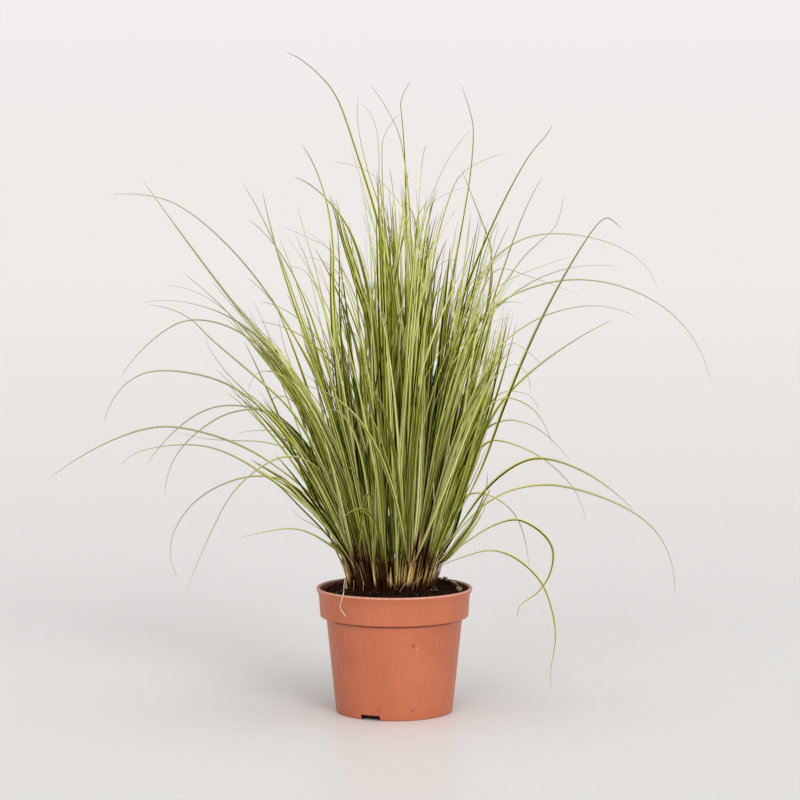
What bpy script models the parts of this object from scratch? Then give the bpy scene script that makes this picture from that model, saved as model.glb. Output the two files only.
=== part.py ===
"""A clump of narrow-leaved ornamental grass in a round 12 cm nursery pot.

Metres, +Z up. The origin is the middle of the pot's flat underside, and the plant's front faces -Y.
The pieces are the pot, the peat, one dry leaf that hangs over the lip, and the clump's shoots.
A shoot is one grown piece: a short sheath and the leaves that come out of its mouth.
"""
import math
import random

import bmesh
import bpy
import numpy as np
from mathutils import Vector
from mathutils.bvhtree import BVHTree
from mathutils.geometry import delaunay_2d_cdt
from mathutils.kdtree import KDTree

MM = 0.001
GAP = 0.3 * MM  # between pieces that touch

# Pot: outer radii and heights.
POT_HEIGHT = 96.7 * MM
POT_SIDES = 39
BASE_RADIUS = 45.3 * MM
BASE_ROUNDING = 1.8 * MM
BODY_TOP_RADIUS = 52.7 * MM
BAND_BOTTOM = 74.3 * MM
BAND_BOTTOM_RADIUS = 57.3 * MM
BAND_TOP_RADIUS = 58.6 * MM
LIP_RADIUS = 60.4 * MM
LIP_DEPTH = 4.0 * MM
WALL = 1.3 * MM
FLOOR = 1.8 * MM

# Drainage notches in the bottom edge of the pot.
NOTCH_COUNT = 3
NOTCH_WIDTH = 16.0 * MM
NOTCH_HEIGHT = 4.0 * MM
NOTCH_LENGTH = 9.0 * MM
FIRST_NOTCH_DEG = -24.0  # from the front, towards -X

# Peat: a flat crown where the shoots stand, falling away to the wall.
CROWN_CENTRE = (-2.0 * MM, 9.0 * MM)
CROWN_HALF_WIDTH = 35.0 * MM
CROWN_HALF_DEPTH = 24.0 * MM
CROWN_TOP = 95.5 * MM
CROWN_MARGIN = 6.0 * MM
PEAT_EDGE_DROP = 5.0 * MM
PEAT_SLOPE_RINGS = 3
PEAT_LUMPS = 0.8 * MM

# Shoots stand in staggered rows on the crown. The outer ones are shorter and lean outward.
ROW_PITCH = 7.2 * MM
SHOOT_PITCH = 7.8 * MM
SHEATH_SIDES = 6
MIDDLE_SHEATH_HEIGHT = 23.0 * MM
EDGE_SHEATH_HEIGHT = 12.0 * MM
SHEATH_LEAN_DEG = 20.0
SHEATH_FOOT_RADIUS = 2.4 * MM
SHEATH_MOUTH_RADIUS = 2.0 * MM
LEAVES_PER_SHOOT = 3
DRAWN_PER_SHOOT = 2

# Leaf section: a channel, drawn as a triangle of two margins and a keel on the leaf's lower side.
KEEL_SHARE = 0.36  # keel depth over width
LEAF_BASE_WIDTH = 1.6 * MM
LEAF_BASE_KEEL = 0.65 * MM
LEAF_BASE_PITCH = 0.95 * MM  # between leaves of one shoot, across the mouth
WIDENING_SHARE = 0.30  # of the length, from the base to the greatest width
TURNING_SHARE = 0.45  # of the length, from the way it lies in the mouth to its own turn
STATION_TWIST = math.radians(32.0)  # greatest, from one station to the next
THREAD = 0.12  # width left at the tip, over the greatest width
LEAF_CLEARANCE = 0.5 * MM
MOUTH_HEADINGS = 12

# The leaf elevations below are drawn from a point in front of the plant, on the plane y = 0.
EYE_DISTANCE = 2.0
EYE_HEIGHT = 0.39

# One row a leaf: how far its tip lies back (+) or forward (-), its greatest width, how far its face is
# turned about its length in degrees, and the (x, z) points that it passes in the front elevation,
# from the crown outward. Millimetres.
LEFT_LEAVES = (
    (50, 3.4, 60, ((-42, 180), (-80, 262), (-127, 321), (-194, 412))),
    (80, 2.8, 35, ((-38, 203), (-75, 288), (-117, 349), (-159, 387), (-182, 397), (-217, 399))),
    (25, 3.0, 60, ((-33, 187), (-66, 290), (-92, 362), (-116, 408))),
    (-30, 2.6, 70, ((-38, 203), (-78, 318), (-91, 360), (-101, 402))),
    (-70, 2.2, 40, ((-38, 180), (-84, 268), (-111, 299), (-141, 334))),
    (10, 2.4, 50, ((-38, 172), (-80, 253), (-129, 310), (-163, 340))),
    (100, 2.2, 20, ((-36, 172), (-78, 252), (-111, 293), (-145, 321), (-176, 330))),
    (-25, 2.2, 10, ((-40, 185), (-80, 264), (-120, 302), (-162, 317), (-194, 316))),
    (-90, 2.4, 30, ((-38, 148), (-77, 230), (-134, 282), (-160, 306), (-190, 315))),
    (30, 2.8, 25, ((-46, 199), (-86, 266), (-127, 298), (-162, 302), (-197, 277), (-211, 257))),
    (-50, 3.0, 30, ((-48, 156), (-87, 219), (-131, 255), (-182, 264), (-201, 258), (-215, 244),
                    (-225, 220))),
    (-100, 2.0, 20, ((-53, 203), (-83, 257), (-94, 263), (-105, 262), (-113, 247))),
    (70, 2.6, 50, ((-49, 156), (-95, 220), (-138, 266))),
    (110, 2.4, 50, ((-45, 165), (-80, 210), (-108, 241), (-134, 269), (-146, 290))),
    (15, 3.2, 30, ((-51, 151), (-81, 183), (-122, 208), (-177, 221), (-218, 210), (-267, 180))),
    (-80, 2.6, 25, ((-56, 147), (-90, 177), (-135, 203), (-165, 207), (-200, 200), (-211, 190))),
    (90, 2.6, 25, ((-46, 168), (-84, 224), (-117, 237), (-149, 232), (-192, 190))),
    (55, 2.4, 20, ((-59, 191), (-94, 232), (-115, 234), (-135, 228), (-168, 199), (-177, 165))),
    (-40, 2.6, 25, ((-56, 156), (-84, 179), (-115, 182), (-154, 163), (-173, 130), (-166, 101))),
    (-70, 2.6, 30, ((-48, 172), (-63, 192), (-80, 198), (-96, 194), (-124, 171), (-149, 123),
                    (-163, 88))),
    (125, 2.0, 20, ((-53, 183), (-83, 214), (-101, 218), (-122, 215))),
    (-30, 2.4, 30, ((-39, 119), (-64, 138), (-81, 142), (-101, 139), (-119, 135))),
    (40, 2.0, 20, ((-56, 176), (-73, 199), (-100, 209), (-142, 211), (-167, 217))),
    (-85, 2.2, 50, ((-49, 257), (-72, 326), (-93, 362), (-112, 380))),
    (110, 2.0, 30, ((-18, 257), (-34, 326), (-49, 357), (-67, 366), (-89, 376))),
    (-110, 2.0, 30, ((-57, 253), (-80, 295), (-97, 321), (-114, 336))),
    (135, 2.0, 20, ((-61, 226), (-80, 270), (-85, 285), (-89, 305))),
    (-125, 1.8, 20, ((-20, 257), (-42, 337), (-57, 349), (-72, 350))),
    (45, 2.0, 30, ((-47, 133), (-59, 143), (-73, 151), (-80, 160))),
)
HIGH_LEAVES = (
    (-15, 3.2, 60, ((4, 257), (-8, 360), (-34, 446), (-47, 478), (-69, 500), (-83, 507))),
    (-60, 3.4, 70, ((-38, 226), (-46, 303), (-49, 378), (-60, 418), (-71, 437))),
    (-45, 3.2, 60, ((-11, 241), (-19, 319), (-35, 373), (-61, 404), (-77, 412))),
    (90, 2.4, 30, ((18, 257), (14, 349), (8, 386), (-3, 401), (-21, 417), (-49, 424))),
    (30, 2.6, 60, ((2, 257), (-2, 341), (-11, 389), (-22, 424), (-28, 456), (-27, 475))),
    (70, 2.4, 40, ((-8, 257), (-11, 349), (-12, 398), (-12, 435), (-16, 456), (-26, 469))),
    (-70, 2.6, 60, ((14, 257), (13, 349), (11, 395), (7, 428), (3, 446), (-8, 468), (-19, 483))),
    (10, 2.6, 60, ((9, 257), (9, 357), (8, 425), (6, 456), (5, 469), (13, 486))),
    (-85, 2.4, 50, ((-5, 257), (-7, 349), (-9, 410), (-9, 439), (-5, 449), (5, 462))),
    (50, 2.6, 60, ((14, 257), (18, 364), (21, 421), (24, 437))),
    (-10, 3.0, 60, ((24, 203), (41, 318), (55, 394), (59, 424), (60, 451), (56, 468), (50, 485))),
    (-95, 2.4, 40, ((14, 226), (24, 364), (31, 404), (45, 432), (59, 449))),
    (110, 2.2, 30, ((20, 226), (30, 349), (39, 387), (50, 413), (66, 424), (86, 431))),
    (25, 3.0, 60, ((35, 241), (50, 312), (77, 380), (104, 430), (116, 444), (121, 453))),
    (-50, 2.8, 60, ((38, 180), (62, 272), (78, 326), (100, 387), (113, 412))),
    (70, 2.4, 50, ((-38, 226), (-58, 334), (-68, 368), (-75, 393))),
    (-110, 2.2, 30, ((12, 241), (20, 350), (24, 387), (35, 397), (56, 405))),
    (95, 2.4, 40, ((58, 257), (72, 318), (74, 357), (66, 380), (57, 405), (50, 421))),
    (-30, 2.2, 50, ((12, 241), (24, 334), (35, 367), (50, 391))),
)
RIGHT_LEAVES = (
    (-25, 3.6, 65, ((55, 164), (98, 272), (127, 331), (147, 365), (156, 377), (163, 381), (171, 376),
                    (175, 372))),
    (30, 2.6, 20, ((35, 226), (58, 288), (77, 314), (107, 328), (134, 334), (174, 329), (212, 309),
                   (235, 280), (244, 251))),
    (70, 2.4, 20, ((31, 226), (54, 311), (74, 347), (101, 366), (132, 369), (168, 361), (193, 344),
                   (202, 325))),
    (-55, 2.6, 20, ((51, 218), (74, 274), (91, 292), (117, 307), (155, 314), (187, 305))),
    (45, 2.8, 40, ((39, 125), (66, 210), (85, 243), (116, 272), (155, 297), (170, 304))),
    (100, 2.4, 20, ((51, 257), (74, 307), (93, 324), (113, 336), (141, 344), (172, 344))),
    (-90, 2.2, 20, ((40, 241), (62, 305), (79, 328), (97, 338), (137, 352))),
    (-40, 2.6, 40, ((35, 195), (62, 284), (77, 319), (104, 357), (122, 373), (128, 389), (129, 399))),
    (85, 2.4, 20, ((55, 195), (72, 220), (88, 226), (108, 221), (122, 210), (137, 193))),
    (-70, 2.2, 20, ((50, 195), (74, 238), (86, 243), (98, 240), (110, 231), (122, 206))),
    (115, 2.0, 20, ((60, 215), (81, 246), (93, 248), (105, 244), (111, 233))),
    (-110, 2.0, 20, ((60, 225), (80, 262), (93, 269), (101, 263), (105, 248))),
    (55, 2.6, 25, ((47, 164), (62, 199), (75, 210), (93, 207), (115, 196), (139, 172), (148, 145))),
    (-15, 3.4, 45, ((53, 148), (78, 180), (107, 196), (142, 188), (186, 155))),
    (25, 3.0, 30, ((50, 141), (81, 168), (117, 176), (161, 166), (194, 148), (208, 131), (215, 113),
                   (217, 87))),
    (95, 2.6, 25, ((47, 156), (57, 168), (70, 169), (88, 159), (97, 146), (104, 112))),
    (-55, 2.8, 30, ((48, 125), (64, 138), (92, 149), (106, 144), (119, 133), (123, 120), (116, 97),
                    (97, 81), (96, 71))),
    (-30, 2.8, 25, ((43, 116), (72, 125), (88, 122), (103, 112), (116, 96), (125, 61), (121, 26),
                    (122, 17))),
    (-10, 2.8, 60, ((48, 129), (62, 152), (71, 174), (71, 187))),
    (130, 2.0, 20, ((48, 257), (78, 341), (99, 338), (117, 331), (143, 322))),
    (-115, 2.0, 20, ((58, 241), (89, 285), (101, 280), (115, 267))),
)

# Other ways tried for a drawn leaf that meets another: bend of its path in plan, and a shift of its tip.
DRAWN_BENDS = (1.3, 1.0, 1.7, 2.2)
DRAWN_SHIFTS = (0, 8, -8, 16, -16, 26, -26, 38, -38, 50, -50)
DRAWN_SHOOTS_TRIED = 16

# Leaves inside the clump follow a rule: they lean outward from the crown and bend over towards the tip,
# and stay inside this outline of the clump in the front elevation. Millimetres.
CLUMP_OUTLINE = (
    (-40, 95), (-66, 150), (-90, 200), (-108, 250), (-118, 300), (-108, 350), (-75, 390), (-40, 420),
    (0, 430), (40, 425), (75, 405), (95, 370), (102, 330), (100, 280), (92, 240), (76, 190), (58, 150),
    (40, 95),
)
INNER_SEED = 7
INNER_LENGTH = (215 * MM, 345 * MM)
INNER_WIDTH = (2.0 * MM, 3.0 * MM)
SIDE_LEAN_DEG = 30.0  # at the sides of the crown
DEPTH_LEAN_DEG = 22.0  # at its front and back
DEPTH_REACH = 235 * MM
INNER_BENDS_DEG = (12, 25, 45, 80, 100)
INNER_TRIES = 400

# Some leaves of the crown's front and back rows arch low over the pot's rim.
LOW_ARCH_FROM = 0.45  # of the crown's half depth
LOW_ARCH_CHANCE = 0.5
LOW_ARCH_LEAN_DEG = (25, 52)
LOW_ARCH_BEND_DEG = (50, 95)

# Stations along a leaf, closer together where it bends.
DRAWN_STATIONS = 9
INNER_STATIONS = 6
BEND_WEIGHT = 0.5

# The dry leaf rises from the peat and hangs over the lip at the front left. Millimetres.
DRY_LEAF_WIDTH = 2.0 * MM
DRY_LEAF_STATIONS = 13
DRY_LEAF_PATH = (
    (-37.0, -9.0, 96.3), (-37.2, -11.5, 103.0), (-37.6, -16.0, 106.5), (-38.4, -28.0, 102.5),
    (-38.6, -38.0, 99.6), (-38.6, -45.5, 98.2), (-39.6, -49.8, 94.5), (-41.0, -49.6, 88.5),
    (-38.8, -50.4, 84.5), (-36.2, -51.6, 81.0),
)

COLOURS = {
    "terracotta_plastic": ((0.56, 0.16, 0.085, 1.0), 0.48),
    "peat": ((0.012, 0.007, 0.004, 1.0), 0.95),
    "leaf": ((0.22, 0.30, 0.04, 1.0), 0.45),
    "dry_leaf": ((0.62, 0.45, 0.22, 1.0), 0.70),
}


def clear_scene():
    for thing in list(bpy.context.scene.objects):
        bpy.data.objects.remove(thing)


def material(name):
    made = bpy.data.materials.get(name)
    if made is None:
        colour, roughness = COLOURS[name]
        made = bpy.data.materials.new(name)
        made.use_nodes = True
        shader = made.node_tree.nodes["Principled BSDF"]
        shader.inputs["Base Color"].default_value = colour
        shader.inputs["Roughness"].default_value = roughness
        shader.inputs["Metallic"].default_value = 0.0
    return made


def add_solid(name, vertices, faces, material_name):
    """An object of triangles, with its faces turned outward."""
    mesh = bpy.data.meshes.new(name)
    mesh.from_pydata([tuple(v) for v in vertices], [], faces)
    mesh.materials.append(material(material_name))
    shape = bmesh.new()
    shape.from_mesh(mesh)
    bmesh.ops.triangulate(shape, faces=shape.faces)
    bmesh.ops.recalc_face_normals(shape, faces=shape.faces)
    shape.to_mesh(mesh)
    shape.free()
    thing = bpy.data.objects.new(name, mesh)
    bpy.context.collection.objects.link(thing)
    return thing


def shade(thing, angle_deg=35.0):
    thing.data.shade_smooth()
    thing.data.set_sharp_from_angle(angle=math.radians(angle_deg))


def lofted(name, rings, material_name):
    """A closed solid through rings of equally many points, with a flat cap at each end."""
    sides = len(rings[0])
    vertices = [point for ring in rings for point in ring]
    last = len(vertices) - sides
    faces = [tuple(range(sides))[::-1], tuple(range(last, len(vertices)))]
    for start in range(0, last, sides):
        for side in range(sides):
            a = start + side
            b = start + (side + 1) % sides
            faces.append((a, b, b + sides, a + sides))
    return add_solid(name, vertices, faces, material_name)


def smooth_step(share):
    share = np.clip(share, 0.0, 1.0)
    return share * share * (3.0 - 2.0 * share)


# Pot and peat

def round_ring(radius, height):
    angles = [2.0 * math.pi * side / POT_SIDES for side in range(POT_SIDES)]
    return [(radius * math.cos(angle), radius * math.sin(angle), height) for angle in angles]


def inner_profile():
    """The pot's inner wall as (radius, height), from the floor up to the lip."""
    return [
        (BASE_RADIUS - WALL, FLOOR),
        (BODY_TOP_RADIUS - WALL, BAND_BOTTOM + WALL),
        (BAND_BOTTOM_RADIUS - WALL, BAND_BOTTOM + 1.6 * WALL),
        (BAND_TOP_RADIUS - WALL, POT_HEIGHT - LIP_DEPTH),
        (LIP_RADIUS - 2.0 * WALL, POT_HEIGHT - 0.5 * MM),
    ]


def pot_profile():
    """The pot's whole section as (radius, height): out along the underside, up, over the lip and in."""
    outer = [
        (BASE_RADIUS - BASE_ROUNDING, 0.0),
        (BASE_RADIUS - 0.3 * BASE_ROUNDING, 0.3 * BASE_ROUNDING),
        (BASE_RADIUS, BASE_ROUNDING),
        (BODY_TOP_RADIUS, BAND_BOTTOM - 0.7 * MM),
        (BAND_BOTTOM_RADIUS - 0.9 * MM, BAND_BOTTOM),
        (BAND_BOTTOM_RADIUS, BAND_BOTTOM + 0.7 * MM),
        (BAND_TOP_RADIUS, POT_HEIGHT - LIP_DEPTH),
        (LIP_RADIUS - 0.2 * MM, POT_HEIGHT - 0.75 * LIP_DEPTH),
        (LIP_RADIUS, POT_HEIGHT - 0.35 * LIP_DEPTH),
        (LIP_RADIUS - 0.5 * MM, POT_HEIGHT - 0.3 * MM),
        (LIP_RADIUS - 1.3 * MM, POT_HEIGHT),
    ]
    return outer + inner_profile()[::-1]


def cut_notch(pot, angle):
    """Cuts a box out of the pot's bottom edge, with its long side along the edge."""
    half = np.array([0.5 * NOTCH_WIDTH, 0.5 * NOTCH_LENGTH, NOTCH_HEIGHT])
    centre = np.array([0.0, -(BASE_RADIUS - 0.3 * NOTCH_LENGTH), 0.0])
    corners = ((-1, -1), (1, -1), (1, 1), (-1, 1))
    rings = []
    for level in (-1, 1):
        rings.append([centre + half * np.array([x, y, level]) for x, y in corners])
    cutter = lofted("notch_cutter", rings, "terracotta_plastic")
    cutter.rotation_euler = (0.0, 0.0, angle)
    modifier = pot.modifiers.new("notch", "BOOLEAN")
    modifier.operation = "DIFFERENCE"
    modifier.solver = "EXACT"
    modifier.object = cutter
    bpy.context.view_layer.update()
    graph = bpy.context.evaluated_depsgraph_get()
    mesh = bpy.data.meshes.new_from_object(pot.evaluated_get(graph))
    pot.modifiers.clear()
    pot.data = mesh
    bpy.data.objects.remove(cutter)


def make_pot():
    rings = [round_ring(radius, height) for radius, height in pot_profile()]
    pot = lofted("pot", rings, "terracotta_plastic")
    for notch in range(NOTCH_COUNT):
        cut_notch(pot, math.radians(FIRST_NOTCH_DEG + notch * 360.0 / NOTCH_COUNT))
    shade(pot)


def crown_ring():
    half_width = CROWN_HALF_WIDTH + CROWN_MARGIN
    half_depth = CROWN_HALF_DEPTH + CROWN_MARGIN
    ring = []
    for side in range(POT_SIDES):
        angle = 2.0 * math.pi * side / POT_SIDES
        x = CROWN_CENTRE[0] + half_width * math.cos(angle)
        y = CROWN_CENTRE[1] + half_depth * math.sin(angle)
        ring.append((x, y, CROWN_TOP))
    return ring


def make_peat():
    """Follows the pot's inner wall, and slopes up in lumps from the wall to the flat crown."""
    wall = inner_profile()
    edge_top = CROWN_TOP - PEAT_EDGE_DROP
    edge_radius = np.interp(edge_top, [height for _, height in wall], [radius for radius, _ in wall])
    profile = [(radius, height + GAP) for radius, height in wall[:3]] + [(edge_radius, edge_top)]
    inset = GAP / math.cos(math.pi / POT_SIDES)
    rings = [round_ring(radius - inset, height) for radius, height in profile]
    lumps = random.Random(3)
    edge = np.array(rings[-1])
    crown = np.array(crown_ring())
    for ring in range(1, PEAT_SLOPE_RINGS):
        share = ring / PEAT_SLOPE_RINGS
        slope = edge * (1.0 - share) + crown * share
        slope[:, 2] = edge_top + PEAT_EDGE_DROP * math.sin(0.5 * math.pi * share)
        slope[:, 2] += [lumps.uniform(-PEAT_LUMPS, PEAT_LUMPS) for _ in range(POT_SIDES)]
        rings.append(slope.tolist())
    rings.append(crown.tolist())
    shade(lofted("peat", rings, "peat"))


# Curves

def polyline_lengths(line):
    """Distance along a polyline at each of its points."""
    return np.concatenate(([0.0], np.cumsum(np.linalg.norm(np.diff(line, axis=0), axis=1))))


def at_measures(line, measures, wanted):
    return np.stack([np.interp(wanted, measures, line[:, axis]) for axis in range(3)], axis=1)


def smooth_curve(points):
    """Many points along a smooth curve through the given ones (centripetal knots)."""
    points = np.asarray(points, dtype=float)
    steps = np.linalg.norm(np.diff(points, axis=0), axis=1) ** 0.5
    slopes = np.diff(points, axis=0) / steps[:, None]
    tangents = np.empty_like(points)
    before, after = steps[:-1, None], steps[1:, None]
    tangents[1:-1] = (slopes[:-1] * after + slopes[1:] * before) / (before + after)
    tangents[0] = 2.0 * slopes[0] - tangents[1]
    tangents[-1] = 2.0 * slopes[-1] - tangents[-2]
    fine = [points[:1]]
    u = np.linspace(0.0, 1.0, 25)[1:, None]
    for i, step in enumerate(steps):
        fine.append(
            (2 * u**3 - 3 * u**2 + 1) * points[i] + (u**3 - 2 * u**2 + u) * step * tangents[i]
            + (3 * u**2 - 2 * u**3) * points[i + 1] + (u**3 - u**2) * step * tangents[i + 1]
        )
    return np.concatenate(fine)


def stations(curve, count):
    """The curve at count + 1 stations, closer together where it bends, and their shares of its length."""
    steps = np.diff(curve, axis=0)
    ways = steps / np.linalg.norm(steps, axis=1)[:, None]
    turns = np.arccos(np.clip((ways[1:] * ways[:-1]).sum(axis=1), -1.0, 1.0))
    turned = np.concatenate(([0.0], np.cumsum(turns), [turns.sum()])) / (turns.sum() + 1e-6)
    lengths = polyline_lengths(curve) / polyline_lengths(curve)[-1]
    measures = BEND_WEIGHT * turned + (1.0 - BEND_WEIGHT) * lengths
    wanted = np.linspace(0.0, measures[-1], count + 1)
    line = at_measures(curve, measures, wanted)
    return line, polyline_lengths(line) / polyline_lengths(line)[-1]


def in_depth(elevation, depth):
    """A point of the front elevation (x, z), carried to a depth y along the line from the eye."""
    scale = 1.0 + depth / EYE_DISTANCE
    return elevation[0] * scale, depth, EYE_HEIGHT + (elevation[1] - EYE_HEIGHT) * scale


def seen(point):
    """A point in space, as (x, z) of the front elevation."""
    scale = 1.0 + point[..., 1] / EYE_DISTANCE
    return point[..., 0] / scale, EYE_HEIGHT + (point[..., 2] - EYE_HEIGHT) / scale


# Leaves

class Leaf:
    """Stations along the middle of a leaf, its greatest width, and its turn about its length."""

    def __init__(self, curve, count, width, turn_deg):
        self.line, self.shares = stations(curve, count)
        self.width = width
        self.turn = math.radians(turn_deg)
        reach = self.line[-1] - self.line[0]
        self.heading = np.array([reach[0], reach[1], 0.0]) / math.hypot(reach[0], reach[1])

    def width_at(self, share):
        """Narrow at the base, full at a third of the length, then a long taper."""
        full = self.width * (THREAD + (1.0 - THREAD) * (1.0 - share**2.4) ** 1.1)
        return LEAF_BASE_WIDTH + (full - LEAF_BASE_WIDTH) * smooth_step(share / WIDENING_SHARE)

    def samples(self):
        """Points every 2.5 mm or so along the leaf, and half its width at each."""
        lengths = polyline_lengths(self.line)
        wanted = np.linspace(0.0, lengths[-1], int(lengths[-1] / (2.5 * MM)) + 2)
        return at_measures(self.line, lengths, wanted), 0.5 * self.width_at(wanted / lengths[-1])

    def early_way(self):
        """Level travel over the leaf's first stretch."""
        lengths = polyline_lengths(self.line)
        early = at_measures(self.line, lengths, np.array([35.0 * MM]))[0]
        return early - self.line[0]

    def surface(self, first_ring):
        """Vertices and triangles of a tube, open at its first ring and pointed at its tip."""
        ways = np.gradient(self.line, axis=0)
        ways /= np.linalg.norm(ways, axis=1)[:, None]
        across = np.array([-self.heading[1], self.heading[0], 0.0])
        sides = across - (ways @ across)[:, None] * ways
        sides /= np.linalg.norm(sides, axis=1)[:, None]
        sides = math.cos(self.turn) * sides + math.sin(self.turn) * np.cross(ways, sides)
        carried = np.empty_like(sides)
        side = first_ring[0] - first_ring[1]
        for station, way in enumerate(ways):
            side = side - (side @ way) * way
            side = side / np.linalg.norm(side)
            carried[station] = side
        faces = np.cross(ways, carried)
        angles = np.unwrap(np.arctan2((faces * sides).sum(axis=1), (carried * sides).sum(axis=1)))
        angles -= 2.0 * math.pi * np.round(angles[-1] / (2.0 * math.pi))
        angles *= smooth_step(self.shares / TURNING_SHARE)
        for station in range(1, len(angles)):
            change = np.clip(angles[station] - angles[station - 1], -STATION_TWIST, STATION_TWIST)
            angles[station] = angles[station - 1] + change
        sides = np.cos(angles)[:, None] * carried + np.sin(angles)[:, None] * faces
        faces = np.cross(ways, sides)
        vertices = list(first_ring)
        for station in range(1, len(self.line) - 1):
            centre = self.line[station]
            half = 0.5 * self.width_at(self.shares[station])
            vertices.append(centre + sides[station] * half)
            vertices.append(centre - sides[station] * half)
            vertices.append(centre - faces[station] * 2.0 * KEEL_SHARE * half)
        vertices.append(self.line[-1])
        tip = len(vertices) - 1
        triangles = []
        for start in range(0, tip - 3, 3):
            for corner in range(3):
                a = start + corner
                b = start + (corner + 1) % 3
                forth = np.linalg.norm(vertices[b + 3] - vertices[a])
                back = np.linalg.norm(vertices[a + 3] - vertices[b])
                if forth < back:
                    triangles += [(a, b, b + 3), (a, b + 3, a + 3)]
                else:
                    triangles += [(a, b, a + 3), (b, b + 3, a + 3)]
        for corner in range(3):
            triangles.append((tip - 3 + corner, tip - 3 + (corner + 1) % 3, tip))
        return vertices, triangles


def base_ring(centre, along, outward):
    """The triangle a leaf starts from, with its keel on the outward side (1) or the other one (-1)."""
    beside = np.array([-along[1], along[0], 0.0]) * outward
    back = -along * outward * 0.5 * LEAF_BASE_KEEL
    half = beside * 0.5 * LEAF_BASE_WIDTH
    return [centre + back + half, centre + back - half, centre - back]


class Shoot:
    """A short sheath on the crown, and its leaves."""

    def __init__(self, number, x, y):
        self.number = number
        place = np.array([x, y]) - CROWN_CENTRE
        self.share = place / (CROWN_HALF_WIDTH, CROWN_HALF_DEPTH)
        outward = min(1.0, float(np.hypot(*self.share)))
        height = MIDDLE_SHEATH_HEIGHT + (EDGE_SHEATH_HEIGHT - MIDDLE_SHEATH_HEIGHT) * outward**2
        lean = math.tan(math.radians(SHEATH_LEAN_DEG)) * self.share
        self.foot = np.array([x, y, CROWN_TOP + GAP])
        self.mouth = self.foot + height * np.array([lean[0], lean[1], 1.0])
        self.leaves = []

    def samples(self):
        """Points up the sheath, and their radii."""
        shares = np.linspace(0.0, 1.0, 10)[:, None]
        return self.foot + shares * (self.mouth - self.foot), np.full(10, SHEATH_FOOT_RADIUS)

    def surfaces(self, leaves):
        """The leaves' surfaces, side by side across the mouth so that none crosses another, or None."""
        early = np.array([leaf.early_way() for leaf in leaves])
        choices = []
        for step in range(MOUTH_HEADINGS):
            heading = math.pi * step / MOUTH_HEADINGS
            along = np.array([math.cos(heading), math.sin(heading), 0.0])
            order = np.argsort(early @ along)
            spread = np.diff((early @ along)[order])
            choices.append((-round(float(min(spread, default=0.0)), 6), step, along, order))
        for _, _, along, order in sorted(choices, key=lambda choice: choice[:2])[:5]:
            made = [None] * len(leaves)
            for place, number in enumerate(order):
                centre = self.mouth + along * LEAF_BASE_PITCH * (place - 0.5 * (len(leaves) - 1))
                outward = 1.0 if leaves[number].heading @ along >= 0.0 else -1.0
                made[number] = leaves[number].surface(base_ring(centre, along, outward))
            trees = [BVHTree.FromPolygons([tuple(v) for v in vertices], faces) for vertices, faces in made]
            pairs = [(a, b) for a in range(len(trees)) for b in range(a)]
            if not any(trees[a].overlap(trees[b]) for a, b in pairs):
                return made
        return None


class Crowd:
    """The sheaths and leaves placed so far, as points with radii, to keep new leaves clear of them."""

    def __init__(self):
        self.points = []
        self.radii = []
        self.owners = []
        self.tree = None

    def add(self, points, radii, owner):
        self.points += [tuple(point) for point in points]
        self.radii += [float(radius) for radius in radii]
        self.owners += [owner] * len(points)
        self.tree = KDTree(len(self.points))
        for index, point in enumerate(self.points):
            self.tree.insert(point, index)
        self.tree.balance()

    def room(self, points, radii, owner, enough):
        """The smallest gap to other shoots' points, given up once it falls to the one that is enough."""
        widest = SHEATH_FOOT_RADIUS + LEAF_CLEARANCE
        smallest = 1.0
        for point, radius in zip(points, radii):
            for _, index, apart in self.tree.find_range(point, radius + widest):
                if self.owners[index] != owner:
                    smallest = min(smallest, apart - radius - self.radii[index])
            if smallest <= enough:
                break
        return smallest


def crown_places():
    """The shoots' places, in staggered rows across the crown."""
    places = []
    rows = int(CROWN_HALF_DEPTH / ROW_PITCH)
    columns = int(CROWN_HALF_WIDTH / SHOOT_PITCH) + 1
    for row in range(-rows, rows + 1):
        y = CROWN_CENTRE[1] + row * ROW_PITCH
        shift = 0.5 * SHOOT_PITCH * (row % 2)
        half = CROWN_HALF_WIDTH * math.sqrt(1.0 - (row * ROW_PITCH / CROWN_HALF_DEPTH) ** 2)
        for column in range(-columns, columns + 1):
            x = CROWN_CENTRE[0] + column * SHOOT_PITCH + shift
            if abs(x - CROWN_CENTRE[0]) <= half:
                places.append((x, y))
    return places


def drawn_leaf(shoot, depth, width, turn, elevation, bend):
    """A leaf from the mouth that passes the points of its elevation, with its tip at the depth given."""
    drawn = [seen(shoot.mouth)] + [(x * MM, z * MM) for x, z in elevation]
    shares = polyline_lengths(np.array(drawn))
    shares /= shares[-1]
    points = [shoot.mouth]
    for place, share in zip(drawn[1:], shares[1:]):
        points.append(in_depth(place, shoot.mouth[1] + (depth - shoot.mouth[1]) * share**bend))
    return Leaf(smooth_curve(points), DRAWN_STATIONS, width, turn)


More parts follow.
